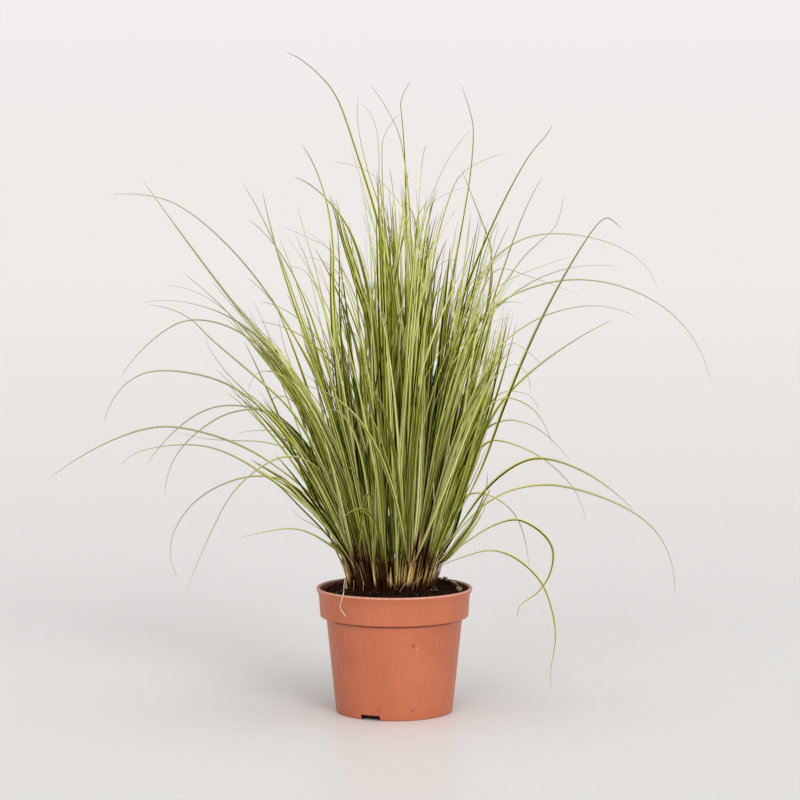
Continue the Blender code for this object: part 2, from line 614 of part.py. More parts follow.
def inner_leaf(shoot, rule):
    """A leaf inside the clump, drawn by the rule of lean and bend."""
    side_lean = shoot.share[0] * SIDE_LEAN_DEG * rule.uniform(0.5, 1.1) + rule.gauss(0.0, 5.0)
    depth_lean = shoot.share[1] * DEPTH_LEAN_DEG * rule.uniform(0.5, 1.3) + rule.gauss(0.0, 8.0)
    way = np.tan(np.radians([side_lean, depth_lean]))
    heading = math.atan2(way[1], way[0])
    lean = math.atan(math.hypot(way[0], way[1]))
    over = math.radians(rule.choice(INNER_BENDS_DEG) * rule.uniform(0.7, 1.1))
    bend = rule.uniform(1.4, 3.2)
    length = rule.uniform(*INNER_LENGTH)
    if abs(shoot.share[1]) > LOW_ARCH_FROM and rule.random() < LOW_ARCH_CHANCE:
        heading = math.copysign(0.5 * math.pi, shoot.share[1]) + rule.gauss(0.0, 0.4)
        lean = math.radians(rule.uniform(*LOW_ARCH_LEAN_DEG))
        over = math.radians(rule.uniform(*LOW_ARCH_BEND_DEG))
        bend = rule.uniform(0.9, 1.6)
    drift = math.radians(rule.uniform(-18.0, 18.0))
    point = shoot.mouth
    curve = [point]
    count = 50
    for step in range(count):
        share = (step + 0.5) / count
        angle = lean + over * share**bend
        toward = heading + drift * share
        level = math.sin(angle)
        move = np.array([level * math.cos(toward), level * math.sin(toward), math.cos(angle)])
        point = point + move * length / count
        curve.append(point)
    return Leaf(np.array(curve), INNER_STATIONS, rule.uniform(*INNER_WIDTH), rule.uniform(0.0, 90.0))


def inside_outline(line):
    """Whether a leaf stays in the clump's outline in the front elevation."""
    outline = np.array(CLUMP_OUTLINE) * MM
    ahead = np.roll(outline, -1, axis=0)
    for x, z in zip(*seen(line)):
        level = (ahead[:, 1] > z) != (outline[:, 1] > z)
        rise = np.where(level, ahead[:, 1] - outline[:, 1], 1.0)
        crossing = outline[:, 0] + (z - outline[:, 1]) / rise * (ahead[:, 0] - outline[:, 0])
        if np.count_nonzero(level & (x < crossing)) % 2 == 0:
            return False
    return True


def place_drawn_leaf(shoots, crowd, depth, width, turn, elevation):
    """Gives a drawn leaf to a near shoot with room for it, and keeps it clear of the other shoots."""
    side = np.clip(depth / (110.0 * MM), -1.0, 1.0)
    want_y = CROWN_CENTRE[1] + side * 0.8 * CROWN_HALF_DEPTH
    reach = (0.5 * elevation[0][0] + 0.25 * elevation[-1][0]) * MM
    want_x = CROWN_CENTRE[0] + np.clip(reach, -CROWN_HALF_WIDTH, CROWN_HALF_WIDTH)
    free = [shoot for shoot in shoots if len(shoot.leaves) < DRAWN_PER_SHOOT]
    free.sort(key=lambda shoot: math.hypot(shoot.foot[0] - want_x, shoot.foot[1] - want_y))
    best_room = -1.0
    best = None
    for shoot in free[:DRAWN_SHOOTS_TRIED]:
        for bend in DRAWN_BENDS:
            for shift in DRAWN_SHIFTS:
                leaf = drawn_leaf(shoot, depth + shift * MM, width, turn, elevation, bend)
                points, radii = leaf.samples()
                room = crowd.room(points, radii, shoot.number, best_room)
                if room <= best_room or shoot.surfaces(shoot.leaves + [leaf]) is None:
                    continue
                best_room = room
                best = (shoot, leaf)
                if room > LEAF_CLEARANCE:
                    break
            if best_room > LEAF_CLEARANCE:
                break
        if best_room > LEAF_CLEARANCE:
            break
    shoot, leaf = best
    crowd.add(*leaf.samples(), shoot.number)
    shoot.leaves.append(leaf)


def place_inner_leaf(shoot, crowd, rule):
    """Adds one leaf by the rule, or none where there is no room for it."""
    for _ in range(INNER_TRIES):
        leaf = inner_leaf(shoot, rule)
        if abs(leaf.line[-1][1]) > DEPTH_REACH or not inside_outline(leaf.line):
            continue
        points, radii = leaf.samples()
        if crowd.room(points, radii, shoot.number, LEAF_CLEARANCE) <= LEAF_CLEARANCE:
            continue
        if shoot.surfaces(shoot.leaves + [leaf]) is not None:
            crowd.add(points, radii, shoot.number)
            shoot.leaves.append(leaf)
            return


def make_shoot(shoot):
    """Sheath and leaves as one closed surface: each leaf starts from its own triangle of the mouth."""
    vertices = []
    for centre, radius in ((shoot.foot, SHEATH_FOOT_RADIUS), (shoot.mouth, SHEATH_MOUTH_RADIUS)):
        for side in range(SHEATH_SIDES):
            angle = 2.0 * math.pi * side / SHEATH_SIDES
            vertices.append(centre + radius * np.array([math.cos(angle), math.sin(angle), 0.0]))
    faces = [tuple(range(SHEATH_SIDES))[::-1]]
    for side in range(SHEATH_SIDES):
        following = (side + 1) % SHEATH_SIDES
        faces.append((side, following, following + SHEATH_SIDES))
        faces.append((side, following + SHEATH_SIDES, side + SHEATH_SIDES))
    mouth = list(range(SHEATH_SIDES, 2 * SHEATH_SIDES))
    bases = []
    for leaf_vertices, leaf_faces in shoot.surfaces(shoot.leaves):
        start = len(vertices)
        vertices += leaf_vertices
        faces += [tuple(start + corner for corner in face) for face in leaf_faces]
        bases.append([start, start + 1, start + 2])
    flat = mouth + [corner for base in bases for corner in base]
    spots = [Vector(vertices[corner][:2] - shoot.mouth[:2]) / MM for corner in flat]
    outlines = [[flat.index(corner) for corner in outline] for outline in [mouth] + bases]
    _, _, triangles, spot_sources, _, outline_sources = delaunay_2d_cdt(spots, [], outlines, 1, 1e-5)
    for triangle, sources in zip(triangles, outline_sources):
        if sources == [0]:
            faces.append(tuple(flat[spot_sources[corner][0]] for corner in triangle))
    shade(add_solid(f"shoot_{shoot.number + 1:02d}", vertices, faces, "leaf"))


def dry_leaf():
    points = [tuple(value * MM for value in point) for point in DRY_LEAF_PATH]
    return Leaf(smooth_curve(points), DRY_LEAF_STATIONS, DRY_LEAF_WIDTH, 90.0)


def make_dry_leaf(leaf):
    vertices, faces = leaf.surface(base_ring(leaf.line[0], leaf.heading, 1.0))
    shade(add_solid("dry_leaf", vertices, faces + [(2, 1, 0)], "dry_leaf"))


def main():
    clear_scene()
    make_pot()
    make_peat()
    dry = dry_leaf()
    make_dry_leaf(dry)
    shoots = [Shoot(number, x, y) for number, (x, y) in enumerate(crown_places())]
    crowd = Crowd()
    crowd.add(*dry.samples(), -1)
    for shoot in shoots:
        crowd.add(*shoot.samples(), shoot.number)
    drawn = sorted(LEFT_LEAVES + RIGHT_LEAVES + HIGH_LEAVES, key=lambda row: row[3][-1][1])
    for depth, width, turn, elevation in drawn:
        place_drawn_leaf(shoots, crowd, depth * MM, width * MM, turn, elevation)
    rule = random.Random(INNER_SEED)
    for _ in range(LEAVES_PER_SHOOT):
        for shoot in shoots:
            if len(shoot.leaves) < LEAVES_PER_SHOOT:
                place_inner_leaf(shoot, crowd, rule)
    for shoot in shoots:
        make_shoot(shoot)


main()
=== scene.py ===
"""Looks for a potted clump of narrow-leaved ornamental grass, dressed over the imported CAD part.

Metres, +Z up, in the part's own frame: the origin is the middle of the pot's underside, the front faces -Y.
Each shoot's blades follow the CAD leaves ring by ring, and finer blades are added between them.
"""

import math
import random

import bmesh
import bpy
import numpy as np
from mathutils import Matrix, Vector, noise
from mathutils.bvhtree import BVHTree
from mathutils.kdtree import KDTree


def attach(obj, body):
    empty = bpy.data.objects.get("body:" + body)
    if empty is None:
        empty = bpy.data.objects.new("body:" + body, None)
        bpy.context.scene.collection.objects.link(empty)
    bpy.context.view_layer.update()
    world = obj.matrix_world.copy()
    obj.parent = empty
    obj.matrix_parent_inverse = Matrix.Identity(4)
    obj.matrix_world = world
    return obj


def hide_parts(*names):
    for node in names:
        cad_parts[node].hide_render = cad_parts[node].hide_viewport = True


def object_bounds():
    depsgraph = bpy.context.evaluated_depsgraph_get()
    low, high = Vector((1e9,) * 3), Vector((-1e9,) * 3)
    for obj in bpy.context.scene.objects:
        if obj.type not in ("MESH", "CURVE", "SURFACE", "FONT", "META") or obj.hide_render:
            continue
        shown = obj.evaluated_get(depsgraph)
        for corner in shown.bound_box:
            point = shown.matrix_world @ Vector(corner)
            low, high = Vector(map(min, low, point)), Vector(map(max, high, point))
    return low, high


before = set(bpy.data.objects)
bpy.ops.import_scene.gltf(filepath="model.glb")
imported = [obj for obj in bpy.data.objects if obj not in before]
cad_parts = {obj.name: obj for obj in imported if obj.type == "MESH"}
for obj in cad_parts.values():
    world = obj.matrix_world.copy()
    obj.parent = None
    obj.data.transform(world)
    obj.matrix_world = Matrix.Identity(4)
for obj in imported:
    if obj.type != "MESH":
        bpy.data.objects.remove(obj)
CAD_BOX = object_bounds()
PEAT_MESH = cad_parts["peat"].data
PEAT_SURFACE = BVHTree.FromPolygons(
    [vertex.co for vertex in PEAT_MESH.vertices], [polygon.vertices for polygon in PEAT_MESH.polygons]
)

MM = 0.001

# The photograph's camera: 2 m in front of the plant, looking slightly down.
CAMERA_PLACE = (0.0, -2.0, 0.39)
CAMERA_PITCH_DEG = 4.25
CAMERA_LENS = 117.3
CAMERA_SHIFT = 0.0071
EYE_DISTANCE = -CAMERA_PLACE[1]
EYE_HEIGHT = CAMERA_PLACE[2]

# Pot: outer and inner section as (radius, height), from the underside over the lip to the inner floor.
# Millimetres.
POT_SECTION = (
    (43.3, 0.0), (44.3, 0.12), (45.0, 0.6), (45.3, 1.6), (52.62, 73.0), (52.72, 73.6), (53.1, 73.95),
    (56.4, 74.25), (57.0, 74.4), (57.35, 74.8), (57.42, 75.5), (58.25, 88.6), (58.42, 90.4), (58.75, 91.9),
    (59.35, 93.2), (59.95, 94.2), (60.3, 95.0), (60.3, 95.8), (60.0, 96.4), (59.5, 96.68), (58.9, 96.7),
    (58.4, 96.55),
    (57.95, 96.25), (57.7, 95.6), (57.3, 92.7), (56.05, 76.5), (55.6, 76.1), (51.9, 75.8), (51.4, 75.3),
    (44.1, 2.3), (43.4, 1.8),
)
POT_SIDES = 168
NOTCH_SIZE = (16.0 * MM, 9.0 * MM, 4.0 * MM)
NOTCH_CENTRE_RADIUS = 42.6 * MM
NOTCH_TURNS_DEG = (-24.0, 96.0, 216.0)
NOTCH_ROUNDING = 0.5 * MM
# Small marks on the pot's front: x, y, z and size in millimetres, and colour.
POT_MARKS = (
    (14.2, -48.6, 58.6, 2.0, (0.36, 0.085, 0.045)),
    (17.0, -47.6, 56.4, 1.4, (0.62, 0.23, 0.15)),
    (-12.3, -44.2, 8.4, 1.7, (0.36, 0.085, 0.045)),
    (14.0, -43.7, 8.4, 1.7, (0.36, 0.085, 0.045)),
)

# Peat, the part against the pot's wall, as (radius, height). Millimetres.
PEAT_WALL = ((43.2, 2.1), (43.75, 2.6), (51.05, 75.9), (55.6, 76.9), (56.85, 90.0))
PEAT_SECTORS = 150
PEAT_RINGS = 46
PEAT_RELIEF = ((90.0, 1.1), (260.0, 0.8), (700.0, 0.35))  # bumps a metre, and their height in millimetres
# The crown, where the shoots stand.
CROWN_CENTRE = (-2.0 * MM, 9.0 * MM)
CROWN_HALF = (35.0 * MM, 24.0 * MM)
CROWN_TOP = 95.5 * MM
# Crumbs: loose ones all over, some heaped at the right rear of the rim, and greenish grey ones on that heap.
CRUMBS = 1100
CRUMB_SIZES = (0.45, 0.6, 0.8, 1.0, 1.5)
HEAPED_CRUMBS = 420
GREY_CRUMB_GROUPS = 14
PILE_HEIGHT = 6.0 * MM
PILE_MIDDLE_DEG = 42.0
PILE_SPREAD_DEG = 30.0
# Pale fibres and straws at the front of the crown: points in millimetres.
FIBRES = (
    ((-5.6, -20.0, 106.4), (-2.6, -22.0, 103.4), (-0.2, -24.0, 100.6), (0.8, -25.0, 97.5)),
    ((9.4, -20.5, 102.6), (7.0, -23.0, 100.4), (4.8, -25.5, 97.6), (3.8, -27.0, 95.6)),
    ((21.6, -9, 105.8), (19.2, -12, 104.6), (16.4, -14.5, 102.8), (14.6, -17.5, 99.4), (13.6, -19, 96)),
    ((-31.2, -12.0, 103.4), (-31.0, -16.0, 100.0), (-31.6, -19.5, 96.4)),
    ((-23.8, -14.0, 103.0), (-23.6, -18.5, 99.6), (-24.2, -21.0, 96.4)),
    ((28.0, -16.0, 96.6), (31.5, -16.5, 96.6), (34.0, -15.5, 96.2)),
)
FIBRE_RADIUS = 0.18 * MM
LOOSE_FIBRES = 22
STRAND_SIDES = 6

# Blades.
CURVE_STEPS = 12  # points of a smooth curve between two given ones
EVEN_POINTS = 49
BLADE_STATIONS = 40
TURNING_SHARE = 0.5  # how far the stations follow the curve's turning and not its length
ACROSS = (-1.0, -0.6, 0.0, 0.6, 1.0)
FOLD = 0.50  # depth of the channel over half the width
BLADE_THICKNESS = 0.28 * MM
FOOT_WIDTH = 1.0 * MM
TIP_WIDTH = 0.25 * MM
FOOT_LIFT = (0.0, 0.0, 0.3 * MM)
RING_COUNTS = (6, 9)  # rings of a CAD leaf that fills the clump, and of one that is drawn
LEVEL = 10e-6  # points this close in height stand level
# For a leaf that fills the clump, and for a drawn one.
LEAF_WIDENING = (1.12, 1.25)
LEAF_TONES = ((0.0, 1.0), (0.46, 0.86))
LEAF_BROWNING = (1.0, 0.45)
# Where the dead brown reaches further up, as (x in millimetres, how far), and how wide such a gap is.
BROWN_GAPS = ((-20.0, 24 * MM), (14.0, 27 * MM))
BROWN_GAP_REACH = 5.0 * MM
# Where more of the dead sheaths are bleached, as (x in millimetres, share), and how wide such a tuft is.
STRAW_TUFTS = ((-33.0, 0.40), (8.0, 0.50))
STRAW_TUFT_REACH = 7.0 * MM
BLEACHED_SHARE = 0.35
# Dead sheaths: how many on each shoot, then stubs without a shoot, and rows and columns of one sheath.
SCALES = 15
STUBS = 240
STUB_LEAN_DEG = 20.0
SCALE_ROWS = 9
SCALE_COLUMNS = 5

# Finer blades: how many a shoot has by a rule, between two leaves, and beside each drawn leaf.
EXTRA_SEED = 12
EXTRA_BLADES = 4
PARTNER_BLADES = 1
BESIDE_BLADES = 3
EXTRA_TRIES = 3
EXTRA_WIDTH = (1.6 * MM, 3.0 * MM)
EXTRA_TONES = ((0.0, 0.20), (0.0, 0.30), (0.10, 0.50), (0.84, 1.0), (0.84, 1.0))
EXTRA_INSET = 0.03
LINE_TRIES = 60
LINE_STEPS = 16
FOOT_ASIDE = 1.1 * MM
BESIDE_REACH = (2.0 * MM, 7.0 * MM)
BESIDE_SHARE = (0.75, 1.02)
PARTNER_APART = (5 * MM, 50 * MM)
PARTNER_CHOICE = 9
PARTNER_TRIES = 8
PARTNER_SHARE = (0.55, 1.0)
# Kinds of finer blade: chance, sideways and depth lean at the crown's edge, sway, extra lean away from the
# middle, share of the lean that is left at the tip, bend towards any side, and bend away from the middle, in
# degrees, then length in metres.
EXTRA_KINDS = (
    (0.42, (17.0, 17.0), 4.0, (0.0, 0.0), (0.0, 0.5), (3.0, 30.0), (0.0, 6.0), (0.120, 0.320)),
    (0.14, (16.0, 18.0), 5.0, (0.0, 0.0), (0.3, 0.8), (2.0, 20.0), (20.0, 95.0), (0.210, 0.320)),
    (0.24, (18.0, 20.0), 4.0, (0.0, 5.0), (0.5, 1.0), (3.0, 16.0), (0.0, 12.0), (0.140, 0.230)),
    (0.20, (10.0, 24.0), 4.0, (14.0, 28.0), (0.6, 1.0), (2.0, 14.0), (4.0, 30.0), (0.150, 0.250)),
)
# The clump's outline in the front elevation as (x, z), in millimetres. Finer blades stay inside it, apart
# from those of the tufts.
CLUMP_OUTLINE = (
    (-42, 95), (-46, 117), (-57, 148), (-79, 175), (-93, 205), (-112, 222), (-140, 245), (-140, 262),
    (-112, 250), (-106, 266), (-120, 290), (-145, 318), (-145, 340), (-118, 318), (-100, 298), (-76, 304),
    (-62, 330), (-60, 385), (-48, 405), (-28, 425), (8, 428), (30, 415), (38, 392), (60, 378), (76, 362),
    (82, 310), (82, 240), (71, 205), (60, 175), (48, 145), (38, 110), (37, 95),
)
# Gaps of the front elevation that finer blades leave open, in millimetres.
CLEARINGS = (
    ((-79, 374), (-53, 374), (-49, 317), (-51, 282), (-59, 294), (-73, 324)),
    ((-39, 326), (-29, 326), (-25, 302), (-36, 302)),
    ((-92, 248), (-82, 248), (-72, 226), (-78, 221), (-89, 231)),
    ((-88, 300), (-72, 290), (-66, 262), (-74, 264), (-88, 282)),
)
# Tufts of finer blades: how many, spread at the tip, and the way of the middle one in the front elevation as
# (x, z) above the sheath, in millimetres.
TUFTS = (
    (22, 8.0, ((43, 150), (59, 205), (70, 245), (80, 290), (89, 335))),
    (4, 5.0, ((6, 180), (4, 260), (-4, 330), (-12, 385), (-18, 430))),
    (6, 2.5, ((-3, 180), (0, 260), (1, 330), (-2, 390), (-7, 424))),
    (5, 3.5, ((14, 180), (16, 260), (18, 330), (22, 375), (28, 398), (33, 410))),
    (5, 5.0, ((-16, 180), (-14, 260), (-6, 330), (2, 385), (9, 430))),
    (4, 5.0, ((18, 180), (20, 260), (18, 330), (11, 375), (2, 412))),
    (6, 5.0, ((2, 180), (8, 260), (18, 330), (28, 375), (38, 410))),
    (7, 4.0, ((-24, 160), (-33, 220), (-46, 290), (-49, 335), (-50, 392))),
    (14, 8.0, ((31, 160), (38, 220), (45, 280), (53, 330), (62, 395))),
    (8, 5.0, ((12, 180), (18, 240), (24, 290), (29, 330), (34, 365))),
    (5, 3.5, ((-42, 135), (-54, 160), (-65, 185), (-82, 215), (-107, 240))),
    (7, 4.0, ((-45, 163), (-60, 205), (-73, 236), (-91, 262), (-108, 284), (-130, 314))),
    (6, 4.0, ((-38, 125), (-52, 143), (-67, 160), (-83, 177), (-103, 190), (-120, 201))),
    (6, 2.5, ((38, 118), (51, 134), (64, 154), (75, 180))),
    (6, 3.5, ((-16, 180), (-15, 250), (-20, 305), (-29, 334), (-36, 358), (-45, 392), (-52, 415))),
    (3, 3.0, ((-2, 180), (-6, 260), (-10, 330), (-17, 372), (-27, 400))),
)
TUFT_SHARE = (0.80, 1.0)
TUFT_SHOOTS = 5

# Light of the studio's air, linear.
AIR_HORIZON = (0.855, 0.825, 0.805)
AIR_HIGH = (0.905, 0.865, 0.880)
AIR_TOP = (0.26, 0.25, 0.25)
FLOOR_RADII = (15.0, 6.0, 2.0, 0.5)
FLOOR_SIDES = 96

# Colours, linear. A blade's middle, margins and underside, then in the shade, far out and at its tip.
BLADE_DARK = (0.005, 0.007, 0.0002)
BLADE_OLIVE = (0.066, 0.080, 0.0022)
BLADE_GREEN = (0.060, 0.078, 0.0022)
BLADE_STREAK = (0.27, 0.31, 0.018)
MARGIN_GREEN = (0.62, 0.67, 0.030)
MARGIN_YELLOW = (0.76, 0.80, 0.09)
MARGIN_PALE = (0.97, 0.95, 0.42)
UNDERSIDE = (0.42, 0.46, 0.07)
SHADED_LEAF = (0.012, 0.011, 0.002)
OUTER_GREY = (0.34, 0.33, 0.23)
DRY_TIP = (0.24, 0.21, 0.16)
LOW_SHADE = 0.22
OUTER_DULLING = 0.65
# Leaves dry to a duller grey green outside an egg of this half width, half depth and height.
GREEN_REACH = (130.0 * MM, 190.0 * MM, 460.0 * MM)
# A blade's foot, dead sheaths and the dry leaf.
FOOT_DARK = (0.026, 0.006, 0.003)
FOOT_BROWN = (0.070, 0.016, 0.004)
FOOT_STRAW = ((0.60, 0.28, 0.040), (0.95, 0.78, 0.36))
SHEATH_BROWN = ((0.014, 0.003, 0.001), (0.105, 0.024, 0.006))
SHEATH_STRAW = ((0.74, 0.35, 0.048), (0.98, 0.80, 0.36))
DRY_STRAW = ((0.60, 0.42, 0.20), (0.88, 0.80, 0.56))
# Peat and its crumbs.
PEAT_DARK = ((0.0080, 0.0030, 0.0012), (0.036, 0.013, 0.0055))
PEAT_FLECK = (0.085, 0.036, 0.016)
PEAT_PALE = (0.26, 0.15, 0.08)
GREY_CRUMB = ((0.105, 0.090, 0.045), (0.46, 0.44, 0.28))
GREY_CRUMB_DARK = (0.022, 0.013, 0.008)
# Pot: body, flow marks, specks, painted shade in the notches and on the inner wall, painted shadow under the
# band, painted lip highlight.
POT_BODY = ((0.500, 0.138, 0.064), (0.550, 0.163, 0.080))
POT_FLOW = (0.562, 0.174, 0.089)
POT_SPECK = (0.43, 0.105, 0.046)
POT_NOTCH_SHADE = (0.010, 0.004, 0.002)
POT_INNER_SHADE = (0.115, 0.026, 0.012)
POT_BAND_SHADOW = (0.17, 0.034, 0.016)
POT_LIP_HIGHLIGHT = (0.86, 0.52, 0.42)
PAPER = ((0.845, 0.832, 0.815), (0.860, 0.847, 0.830))


# Nodes

class Paint:
    """Short ways to add the nodes of one material."""

    def __init__(self, name, roughness, specular):
        self.material = bpy.data.materials.new(name)
        self.material.use_nodes = True
        self.nodes = self.material.node_tree.nodes
        self.links = self.material.node_tree.links
        self.shader = self.nodes["Principled BSDF"]
        self.shader.inputs["Roughness"].default_value = roughness
        self.shader.inputs["Specular IOR Level"].default_value = specular

    def feed(self, socket, value):
        """Link a node's result to a socket, or set a number, a vector or a full colour on it."""
        if isinstance(value, bpy.types.NodeSocket):
            self.links.new(value, socket)
        else:
            socket.default_value = (*value, 1.0) if socket.type == "RGBA" else value

    def node(self, kind, inputs=()):
        """A new shader node whose inputs, by name or number, are linked or set."""
        node = self.nodes.new("ShaderNode" + kind)
        for key, value in dict(inputs).items():
            self.feed(node.inputs[key], value)
        return node

    def math(self, operation, *values):
        node = self.node("Math", enumerate(values))
        node.operation = operation
        return node.outputs[0]

    def times(self, a, b):
        return self.math("MULTIPLY", a, b)

    def plus(self, a, b):
        return self.math("ADD", a, b)

    def minus(self, a, b):
        return self.math("SUBTRACT", a, b)

    def vector(self, operation, *values):
        """A number measured on one vector or on two."""
        node = self.node("VectorMath", enumerate(values))
        node.operation = operation
        return node.outputs["Value"]

    def attribute(self, name):
        node = self.node("Attribute")
        node.attribute_name = name
        return node.outputs["Fac"]

    def place(self, scale=(1.0, 1.0, 1.0)):
        """Object coordinates, stretched."""
        coordinates = self.node("TexCoord").outputs["Object"]
        return self.node("Mapping", {"Vector": coordinates, "Scale": scale}).outputs["Vector"]

    def joined(self, x, y, z):
        return self.node("CombineXYZ", enumerate((x, y, z))).outputs[0]

    def noise(self, place, scale, detail):
        inputs = {"Vector": place, "Scale": scale, "Detail": detail, "Roughness": 0.55}
        return self.node("TexNoise", inputs).outputs["Fac"]

    def strip_noise(self, across, rise, tone, detail):
        """Noise on a strip, with scales for across it, along it and from strip to strip."""
        scales = {"across": across, "rise": rise, "tone": tone}
        stretched = [self.times(self.attribute(key), scale) for key, scale in scales.items()]
        return self.noise(self.joined(*stretched), 1.0, detail)

    def step(self, value, low, high):
        """0 below low, 1 above high, smooth between; falls instead where low is above high."""
        rising = low < high
        inputs = {"Value": value, "From Min": min(low, high), "From Max": max(low, high),
                  "To Min": 0.0 if rising else 1.0, "To Max": 1.0 if rising else 0.0}
        node = self.node("MapRange", inputs)
        node.interpolation_type = "SMOOTHSTEP"
        return node.outputs["Result"]

    def mix(self, share, a, b):
        node = self.node("Mix")
        node.data_type = "RGBA"
        for key, value in (("Factor", share), (6, a), (7, b)):
            self.feed(node.inputs[key], value)
        return node.outputs[2]

    def fade(self, value, low, high, a, b):
        """From the colour a at the value low to b at high."""
        return self.mix(self.step(value, low, high), a, b)

    def finished(self, colour, height, distance, strength):
        """The material, with its colour and its bump."""
        self.feed(self.shader.inputs["Base Color"], colour)
        bump = self.node("Bump", {"Strength": strength, "Distance": distance, "Height": height})
        self.feed(self.shader.inputs["Normal"], bump.outputs["Normal"])
        return self.material


def leaf_material():
    paint = Paint("grass_blade", 0.50, 0.04)
    across, tone, rise, along = map(paint.attribute, ("across", "tone", "rise", "along"))
    mottle = paint.strip_noise(4.0, 55.0, 40.0, 3.0)
    streaks = paint.strip_noise(16.0, 9.0, 70.0, 2.0)
    dark = paint.fade(tone, 0.20, 0.90, BLADE_DARK, BLADE_OLIVE)
    green = paint.fade(mottle, 0.35, 0.75, dark, BLADE_GREEN)
    green = paint.fade(streaks, 0.57, 0.74, green, BLADE_STREAK)
    pale = paint.fade(tone, 0.15, 0.85, MARGIN_YELLOW, MARGIN_PALE)
    cream = paint.fade(mottle, 0.14, 0.58, MARGIN_GREEN, pale)
    edge = paint.times(paint.math("ABSOLUTE", paint.minus(across, 0.5)), 2.0)
    shift = paint.times(paint.minus(streaks, 0.5), 0.40)
    shift = paint.plus(shift, paint.times(paint.minus(tone, 0.5), 0.80))
    shift = paint.plus(shift, paint.times(paint.step(along, 0.60, 0.98), 0.08))
    blade = paint.fade(paint.plus(edge, shift), 0.44, 0.58, green, cream)
    blade = paint.mix(paint.times(paint.attribute("under"), 0.30), blade, UNDERSIDE)
    blade = paint.mix(paint.times(paint.step(rise, 0.240, 0.100), LOW_SHADE), blade, SHADED_LEAF)
    reach = paint.vector("LENGTH", paint.place([1.0 / half for half in GREEN_REACH]))
    blade = paint.mix(paint.times(paint.step(reach, 0.85, 1.15), OUTER_DULLING), blade, OUTER_GREY)
    blade = paint.fade(along, 0.92, 1.0, blade, DRY_TIP)
    height = paint.plus(rise, paint.times(paint.minus(mottle, 0.5), 0.030))
    lot = paint.math("FRACT", paint.times(tone, 7.31))
    height = paint.plus(height, paint.times(paint.minus(lot, 0.55), 0.022))
    height = paint.minus(height, paint.attribute("browning"))
    straw = paint.fade(streaks, 0.35, 0.65, *FOOT_STRAW)
    straw = paint.fade(lot, 0.30, 0.62, FOOT_BROWN, straw)
    foot = paint.fade(height, 0.003, 0.014, FOOT_DARK, straw)
    veins = paint.math("SINE", paint.times(across, 60.0))
    return paint.finished(paint.fade(height, 0.012, 0.030, foot, blade), veins, 0.00005, 0.6)


def scale_material():
    paint = Paint("leaf_sheath", 0.6, 0.12)
    grain = paint.strip_noise(14.0, 70.0, 50.0, 4.0)
    straw = paint.fade(grain, 0.30, 0.65, *SHEATH_STRAW)
    brown = paint.mix(grain, *SHEATH_BROWN)
    high = paint.step(paint.attribute("rise"), 0.002, 0.010)
    bleached = paint.times(paint.step(paint.attribute("tone"), 0.56, 0.66), high)
    return paint.finished(paint.mix(bleached, brown, straw), grain, 0.0002, 0.5)


def dry_material():
    paint = Paint("dry_leaf_straw", 0.6, 0.3)
    grain = paint.strip_noise(10.0, 120.0, 0.0, 3.0)
    return paint.finished(paint.fade(grain, 0.35, 0.68, *DRY_STRAW), grain, 0.0001, 0.5)


def peat_material():
    paint = Paint("moist_peat", 0.9, 0.08)
    place = paint.place()
    coarse = paint.noise(place, 260.0, 5.0)
    fine = paint.noise(place, 1400.0, 4.0)
    dark = paint.fade(coarse, 0.40, 0.66, *PEAT_DARK)
    body = paint.fade(fine, 0.60, 0.78, dark, PEAT_FLECK)
    body = paint.fade(paint.attribute("tone"), 0.86, 1.0, body, PEAT_PALE)
    return paint.finished(body, paint.plus(coarse, fine), 0.0006, 0.9)


def grey_crumb_material():
    paint = Paint("grey_green_crumbs", 0.95, 0.2)
    grain = paint.noise(paint.place(), 900.0, 4.0)
    body = paint.mix(paint.attribute("tone"), *GREY_CRUMB)
    return paint.finished(paint.fade(grain, 0.34, 0.50, GREY_CRUMB_DARK, body), grain, 0.0005, 0.8)


